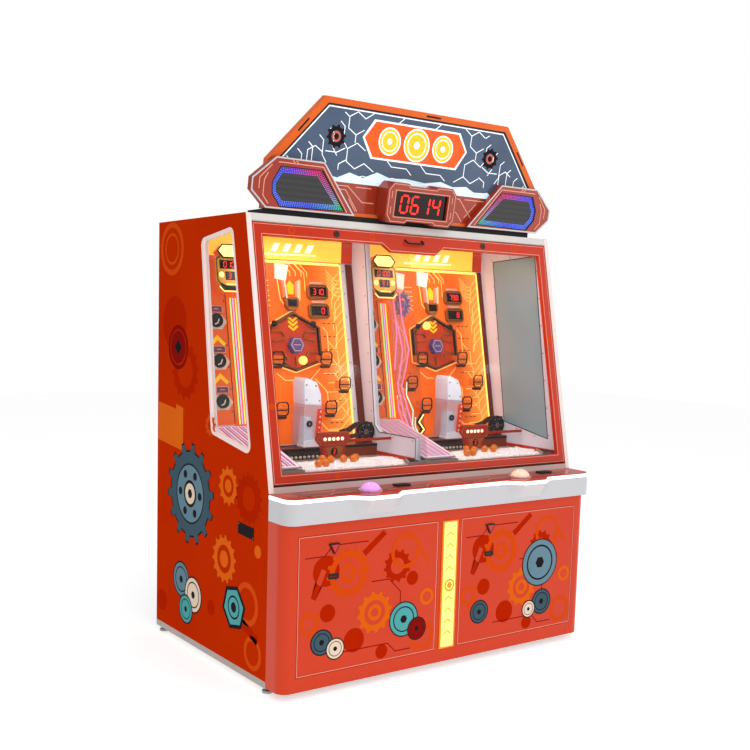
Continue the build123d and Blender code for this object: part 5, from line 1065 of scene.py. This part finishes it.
# Lane fences: clear acrylic sheets with pink lit edges, screwed to the playfield, with green and
# white light lines and glowing tubes, a violet star wheel near the top and striped ramps below.
fence_clear = finish("fence_clear", rgb(236, 200, 214), 0.06, rgb(226, 206, 236), alpha=0.20, glow=0.06,
    bump=0.0)
fence_green = finish("fence_green_line", rgb(150, 236, 180), 0.3, rgb(236, 250, 244), glow=0.9, patch=9.0)
edge_pink = finish("edge_pink", rgb(255, 120, 120), 0.2, rgb(240, 130, 220), glow=1.2, patch=4.0)
tube_tones = (("yellow", (240, 220, 90)), ("violet", (190, 150, 240)), ("green", (150, 230, 130)))
# The star wheel's glow is painted light: the wheel holds no lamp.
star_violet_painted_glow = finish("star_violet_painted_glow", rgb(170, 150, 200), 0.12, rgb(120, 110, 160), coat=0.5, alpha=0.8,
    glow=0.15, patch=30.0)
ramp_stripe = finish("ramp_stripe", rgb(214, 60, 60), 0.3, rgb(176, 90, 190), glow=0.35, patch=7.0)
ramp_white = finish("ramp_white_lit", rgb(240, 230, 236), 0.3, rgb(220, 206, 226), glow=0.3)
give(fence_clear, "lane_fences")
fence = [(0.230, 1.622), (0.142, 1.622), (0.116, 1.491), (0.053, 1.345), (0.071, 1.257), (0.099, 1.166),
    (0.050, 1.068), (-0.023, 0.934), (-0.108, 0.885)]
for hand, low, _, _ in BAYS:
    wall = board((low + 0.1769, 0, 0), (0, -1, 0), (0, 0, 1))
    strips(f"fence_{hand}_edge", wall, [[(-y, z) for y, z in fence],
        [(-0.160, 1.49), (-0.100, 1.34), (-0.112, 1.25), (-0.130, 1.17), (-0.075, 1.04), (-0.01, 0.945)],
        [(-0.190, 1.60), (-0.150, 1.42), (-0.160, 1.20), (-0.110, 1.04), (-0.04, 0.955)],
        [(-0.215, 1.50), (-0.205, 1.20), (-0.150, 1.02)]], 0.0045, -0.0042, 0.0004, edge_pink)
    strips(f"fence_{hand}_print_lines", wall, [[(0.075, 0.900), (-0.005, 0.985), (-0.005, 1.060),
        (-0.060, 1.130), (-0.060, 1.190)], [(0.090, 0.905), (0.015, 0.985), (0.015, 1.030)],
        [(-0.165, 1.000), (-0.130, 1.060), (-0.130, 1.120)],
        [(-0.190, 1.000), (-0.150, 1.080), (-0.150, 1.170), (-0.175, 1.210)]], 0.0030, -0.0042, 0.0004,
        fence_green)
    for k, (tone, colour) in enumerate(tube_tones):
        field_strips(f"tube_{hand}_{tone}", low, [[(0.150 - 0.013 * k, 1.015), (0.150 - 0.013 * k, 1.555)]],
            0.0034, 0.004, 0.010, finish(f"tube_{hand}_{tone}_lit", rgb(*colour), 0.3, rgb(*colour),
            glow=1.2))
    star = board((low + 0.1812, 0.123, 1.555), (0, 1, 0), (0, 0, 1))
    cut_sheet(f"star_{hand}", star, [gear(0, 0, 0.050, 12, 0.012),
        *discs(0, 0, 0.030, 0.020)] + [disc(0.040 * cos(k * pi / 3), 0.040 * sin(k * pi / 3), 0.0055, 12)
        for k in range(6)], 0, 0.010, star_violet_painted_glow, bevel=0.001)
    ramp = board((low, 0.109, 1.0081), (1, 0, 0), (0, 0.427, 0.124))
    cut_sheet(f"ramp_{hand}_print", ramp, [four(0.004, 0.172, -0.440, -0.002)], 0, 0.0008, ramp_white)
    strips(f"ramp_{hand}_lines", ramp, [[(0.020 + 0.033 * k, -0.430), (0.020 + 0.033 * k, -0.010)]
        for k in range(5)], 0.011, 0.0008, 0.0014, ramp_stripe)
    strips(f"ramp_{hand}_dark_lines", ramp, [[(0.034 + 0.033 * k, -0.430), (0.034 + 0.033 * k, -0.010)]
        for k in range(4)], 0.004, 0.0008, 0.0014, plastic_black)


# Beds and pushers: satin metal floors, ribbed corner guides, a dark pusher with a black lip and a
# comb of white pegs, and gold zig-zag trims beside it.
bed_satin = finish("bed_satin", rgb(206, 196, 190), 0.35, rgb(180, 168, 160), metallic=0.5, patch=12.0)
pusher_dark = finish("pusher_dark", rgb(60, 48, 44), 0.3, rgb(44, 34, 32), coat=0.3)
# The surrounds' glow is painted light: they hold no lamp.
surround_brown_painted_glow = finish("surround_brown_painted_glow", rgb(150, 66, 30), 0.35, rgb(120, 50, 24), glow=0.08)
guide_grey = finish("guide_grey", rgb(140, 136, 138), 0.35, rgb(110, 106, 110), metallic=0.3)
give(bed_satin, "coin_beds")
give(pusher_dark, "pusher_left", "pusher_right")
give(surround_brown_painted_glow, "pusher_surrounds")
# The bed floor, and the top of the corner guides that stand on it.
BED_TOP, GUIDE_TOP = 0.862, 0.8741
floor_level = board((0, 0, GUIDE_TOP), (1, 0, 0), (0, 1, 0))
for hand, low, high, centre in BAYS:
    strips(f"corner_{hand}_ribs", floor_level, [[(low + 0.004, -0.322 + 0.020 * k),
        (low + 0.176 - 0.0145 * k, -0.322 + 0.020 * k)] for k in range(8)], 0.008, 0, 0.002, guide_grey)
    strips(f"corner_{hand}_far_ribs", floor_level, [[(high - 0.060 + 0.012 * k, -0.322 + 0.020 * k),
        (high - 0.004, -0.322 + 0.020 * k)] for k in range(5)], 0.008, 0, 0.002, plastic_black)
    nose = board((centre, -0.0001, 0), (1, 0, 0), (0, 0, 1))
    strips(f"pusher_{hand}_lip", nose, [[(-0.166, 0.905), (0.166, 0.905)]], 0.010, 0, 0.006, plastic_black,
        f"pusher_{hand}")
    heads(f"pusher_{hand}_pegs", nose, [[(-0.155, 0.872), (0.155, 0.872)]], 0.0221, 0.007, 0.010, 0.0,
        print_cream, f"pusher_{hand}")
    trim = board((0, 0.0019, 0), (1, 0, 0), (0, 0, 1))
    strips(f"surround_{hand}_line", trim, [[(low + 0.002, 0.909), (centre - 0.170, 0.909)],
        [(centre + 0.170, 0.909), (high - 0.002, 0.909)]], 0.010, 0, 0.004, plastic_black)
    zigzag = board((low + 0.222, 0.004, 0.965), (1, 0, 0), (0, 0, 1))
    strips(f"zigzag_{hand}_black", zigzag, [[(0.010, 0.075), (-0.016, 0.040), (0.016, 0.004),
        (-0.016, -0.030), (0.020, -0.048)]], 0.020, 0, 0.012, plastic_black)
    strips(f"zigzag_{hand}_gold", zigzag, [[(0.010, 0.075), (-0.016, 0.040), (0.016, 0.004), (-0.016, -0.030),
        (0.020, -0.048)]], 0.006, 0.012, 0.014, lamp_yellow)


# Tokens and prize balls: white moulded plastic tokens lying loose and overlapping on each bed, and
# orange balls made of two halves resting on top of them.
def loose_tokens():
    """A node tree that scatters tilted discs over a surface and makes them real."""
    tree = bpy.data.node_groups.new("loose_tokens", "GeometryNodeTree")
    tree.interface.new_socket("Bed", in_out="INPUT", socket_type="NodeSocketGeometry")
    for label, kind in (("Count Per Area", "NodeSocketFloat"), ("Radius", "NodeSocketFloat"),
            ("Thickness", "NodeSocketFloat"), ("Tilt", "NodeSocketFloat"), ("Seed", "NodeSocketInt"),
            ("Finish", "NodeSocketMaterial")):
        tree.interface.new_socket(label, in_out="INPUT", socket_type=kind)
    tree.interface.new_socket("Tokens", in_out="OUTPUT", socket_type="NodeSocketGeometry")
    nodes, links = tree.nodes, tree.links
    given, result = nodes.new("NodeGroupInput"), nodes.new("NodeGroupOutput")
    spread, token, put = (nodes.new(kind) for kind in (
        "GeometryNodeDistributePointsOnFaces", "GeometryNodeMeshCylinder", "GeometryNodeInstanceOnPoints"))
    token.inputs["Vertices"].default_value = 14
    tilt_low, tilt, other = (nodes.new(kind) for kind in (
        "ShaderNodeMath", "FunctionNodeRandomValue", "FunctionNodeRandomValue"))
    tilt_low.operation = "MULTIPLY"
    tilt_low.inputs[1].default_value = -1.0
    tilt.data_type = other.data_type = "FLOAT"
    rotation, real, paint = (nodes.new(kind) for kind in (
        "ShaderNodeCombineXYZ", "GeometryNodeRealizeInstances", "GeometryNodeSetMaterial"))
    links.new(given.outputs["Bed"], spread.inputs["Mesh"])
    links.new(given.outputs["Count Per Area"], spread.inputs["Density"])
    links.new(given.outputs["Seed"], spread.inputs["Seed"])
    links.new(given.outputs["Radius"], token.inputs["Radius"])
    links.new(given.outputs["Thickness"], token.inputs["Depth"])
    links.new(given.outputs["Tilt"], tilt_low.inputs[0])
    for source, axis in ((tilt, "X"), (other, "Y")):
        links.new(tilt_low.outputs["Value"], source.inputs[2])
        links.new(given.outputs["Tilt"], source.inputs[3])
        links.new(source.outputs[1], rotation.inputs[axis])
    other.inputs["Seed"].default_value = 5
    links.new(spread.outputs["Points"], put.inputs["Points"])
    links.new(token.outputs["Mesh"], put.inputs["Instance"])
    links.new(rotation.outputs["Vector"], put.inputs["Rotation"])
    links.new(put.outputs["Instances"], real.inputs["Geometry"])
    links.new(real.outputs["Geometry"], paint.inputs["Geometry"])
    links.new(given.outputs["Finish"], paint.inputs["Material"])
    links.new(paint.outputs["Geometry"], result.inputs["Tokens"])
    return tree


tokens_on_bed = loose_tokens()
# The tokens' glow is painted light: the tokens hold no lamp.
token_white_painted_glow = finish("token_white_painted_glow", rgb(244, 240, 240), 0.3, rgb(228, 220, 220), coat=0.3, glow=0.30,
    patch=40.0)
# A ball's radius, and the heights of the balls' middles and of the sheet the tokens lie about.
BALL, BALL_MIDDLE, TOKENS_MIDDLE = 0.017, 0.884, 0.8665
for hand, low, high, centre in BAYS:
    edge = [(low + 0.196, -0.314), (high - 0.082, -0.314), (high - 0.014, -0.200), (high - 0.014, -0.097),
        (low + 0.100, -0.097), (low + 0.090, -0.146)]
    bed = bpy.data.meshes.new(f"tokens_{hand}_bed")
    bed.from_pydata([(x, y, TOKENS_MIDDLE) for x, y in edge], [], [range(6)])
    spread = grown_piece(f"tokens_{hand}", bed, tokens_on_bed,
        {"Count Per Area": 6500.0, "Radius": 0.0115, "Thickness": 0.0024, "Tilt": 0.28,
        "Seed": 3 if hand == "left" else 8, "Finish": token_white_painted_glow}, "cabinet")
    for face in spread.data.polygons:
        face.use_smooth = False
    if hand == "left":
        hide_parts("play_pieces")
    slab = board((0, 0, BED_TOP), (1, 0, 0), (0, 1, 0))
    cut_sheet(f"tokens_{hand}_under", slab, [edge], 0, 0.004, token_white_painted_glow)
    for k, (dx, y) in enumerate(((-0.140, -0.262), (-0.104, -0.262), (-0.048, -0.150), (-0.026, -0.182),
            (0.040, -0.180), (0.082, -0.196), (0.112, -0.168))):
        shell = bpy.data.meshes.new(f"ball_{hand}_{k}")
        build = bmesh.new()
        bmesh.ops.create_icosphere(build, subdivisions=4, radius=BALL)
        tilt = Matrix.Rotation(0.5 + 0.7 * k, 4, (0.3, 1.0, 0.2 * k))
        for vertex in build.verts:
            if abs(vertex.co.z) < 0.0012:
                vertex.co *= 0.965
        build.to_mesh(shell)
        build.free()
        add_piece(f"ball_{hand}_{k}", shell, Matrix.Translation((centre + dx, y, BALL_MIDDLE)) @ tilt,
            ball_orange_painted_glow, "cabinet")
        for face in shell.polygons:
            face.use_smooth = True


# Back, underside and machinery: a black laminated back with a louvred service door, zinc casters,
# levelling feet, a circuit board and the drives.
back_black = finish("back_black", rgb(44, 42, 42), 0.6, rgb(54, 52, 52), grain=900.0, bump=0.2)
zinc = finish("zinc", rgb(176, 176, 172), 0.35, rgb(140, 140, 138), metallic=0.9, patch=40.0)
tyre_black = finish("caster_black", rgb(26, 26, 27), 0.6, rgb(38, 38, 38), patch=30.0)
machine_grey = finish("machine_grey", rgb(120, 120, 122), 0.4, rgb(98, 98, 102), metallic=0.4)
board_green = finish("board_green", rgb(30, 84, 48), 0.4, rgb(20, 66, 38), patch=60.0)
give(back_black, "back_panel", "rear_door")
give(zinc, "levelling_feet", "caster_brackets", "caster_fork_left", "caster_fork_right", "hinge_pins")
give(tyre_black, "caster_wheel_front_left", "caster_wheel_front_right", "caster_wheel_rear_left",
    "caster_wheel_rear_right")
give(machine_grey, "pusher_drives", "ticket_dispensers", "token_bins")
give(board_green, "electronics")
BACK_FACE = 0.608
back = board((0, BACK_FACE, 0), (-1, 0, 0), (0, 0, 1))
for k, z in enumerate((0.36, 0.98)):
    strips(f"rear_door_louvres_{k}", back, [[(-0.200, z + 0.022 * n), (0.200, z + 0.022 * n)]
        for n in range(6)], 0.007, -0.0002, 0.0000, plastic_black, "rear_door")
heads("back_screws", back, [[(-0.790, 0.10), (-0.790, 1.84), (0.790, 1.84), (0.790, 0.10), (-0.790, 0.10)]],
    0.24, 0.0045, 0.0004, -0.0004, screw_steel)


# Studio: a pale floor, a white surround that gives less light than the camera sees, soft lamps and
# the camera. Small warm lamps inside each bay light the beds, as the machine's own lamps would.
floor_mesh = bpy.data.meshes.new("floor")
floor_mesh.from_pydata([(-14, -14, 0), (14, -14, 0), (14, 14, 0), (-14, 14, 0)], [], [(0, 1, 2, 3)])
floor = bpy.data.objects.new("floor", floor_mesh)
bpy.context.collection.objects.link(floor)
floor_mesh.materials.append(finish("floor_pale", (0.93, 0.93, 0.93, 1.0), 0.8, (0.91, 0.91, 0.91, 1.0),
    patch=0.5, bump=0.0, glow=0.60))


def lamp(name, spot, aim, size, power, colour=(1.0, 1.0, 1.0)):
    """A soft square lamp aimed at a point."""
    data = bpy.data.lights.new(name, "AREA")
    data.shape, data.size, data.energy, data.color = "SQUARE", size, power, colour
    light = bpy.data.objects.new(name, data)
    light.location = spot
    light.rotation_euler = (Vector(aim) - Vector(spot)).to_track_quat("-Z", "Y").to_euler()
    bpy.context.collection.objects.link(light)


lamp("key_light", (-2.6, -4.6, 3.6), (0, 0, 1.1), 2.6, 62)
lamp("fill_light", (3.4, -3.8, 2.4), (0, 0, 1.0), 3.0, 34)
lamp("top_light", (0, -1.2, 4.6), (0, 0, 1.0), 3.0, 40)
for hand, x in (("left", -0.40), ("right", 0.41)):
    lamp(f"bay_{hand}_light", (x, -0.05, 1.80), (x, 0.02, 0.9), 0.30, 2.2, (1.0, 0.86, 0.74))
    lamp(f"bay_{hand}_low_light", (x, -0.28, 1.30), (x, 0.05, 0.95), 0.12, 0.5, (1.0, 0.90, 0.84))
world = bpy.data.worlds.new("studio")
bpy.context.scene.world = world
world.use_nodes = True
world.node_tree.nodes["Background"].inputs["Color"].default_value = (1, 1, 1, 1)
seen = world.node_tree.nodes.new("ShaderNodeLightPath")
sky = world.node_tree.nodes.new("ShaderNodeMapRange")
SURROUND_AS_LIGHT, SURROUND_AS_SEEN = 0.46, 1.0
sky.inputs["To Min"].default_value = SURROUND_AS_LIGHT
sky.inputs["To Max"].default_value = SURROUND_AS_SEEN
world.node_tree.links.new(seen.outputs["Is Camera Ray"], sky.inputs["Value"])
world.node_tree.links.new(sky.outputs["Result"], world.node_tree.nodes["Background"].inputs["Strength"])

camera_data = bpy.data.cameras.new("camera")
camera_data.lens, camera_data.sensor_width, camera_data.shift_y = 50.555, 36.0, 0.0733
camera_data.clip_end = 60
camera = bpy.data.objects.new("camera", camera_data)
bpy.context.collection.objects.link(camera)
yaw, pitch, roll = radians(36.182), radians(6.244), radians(1.674)
ahead = Vector((sin(yaw) * cos(pitch), cos(yaw) * cos(pitch), -sin(pitch)))
level = Vector((cos(yaw), -sin(yaw), 0))
above = level.cross(ahead)
right = level * cos(roll) + above * sin(roll)
upward = above * cos(roll) - level * sin(roll)
turned = Matrix((right, upward, -ahead)).transposed().to_4x4()
EYE = (-2.8658, -3.8778, 1.5024)
camera.matrix_world = Matrix.Translation(EYE) @ turned
bpy.context.scene.camera = camera
bpy.context.scene.view_settings.view_transform = "Standard"
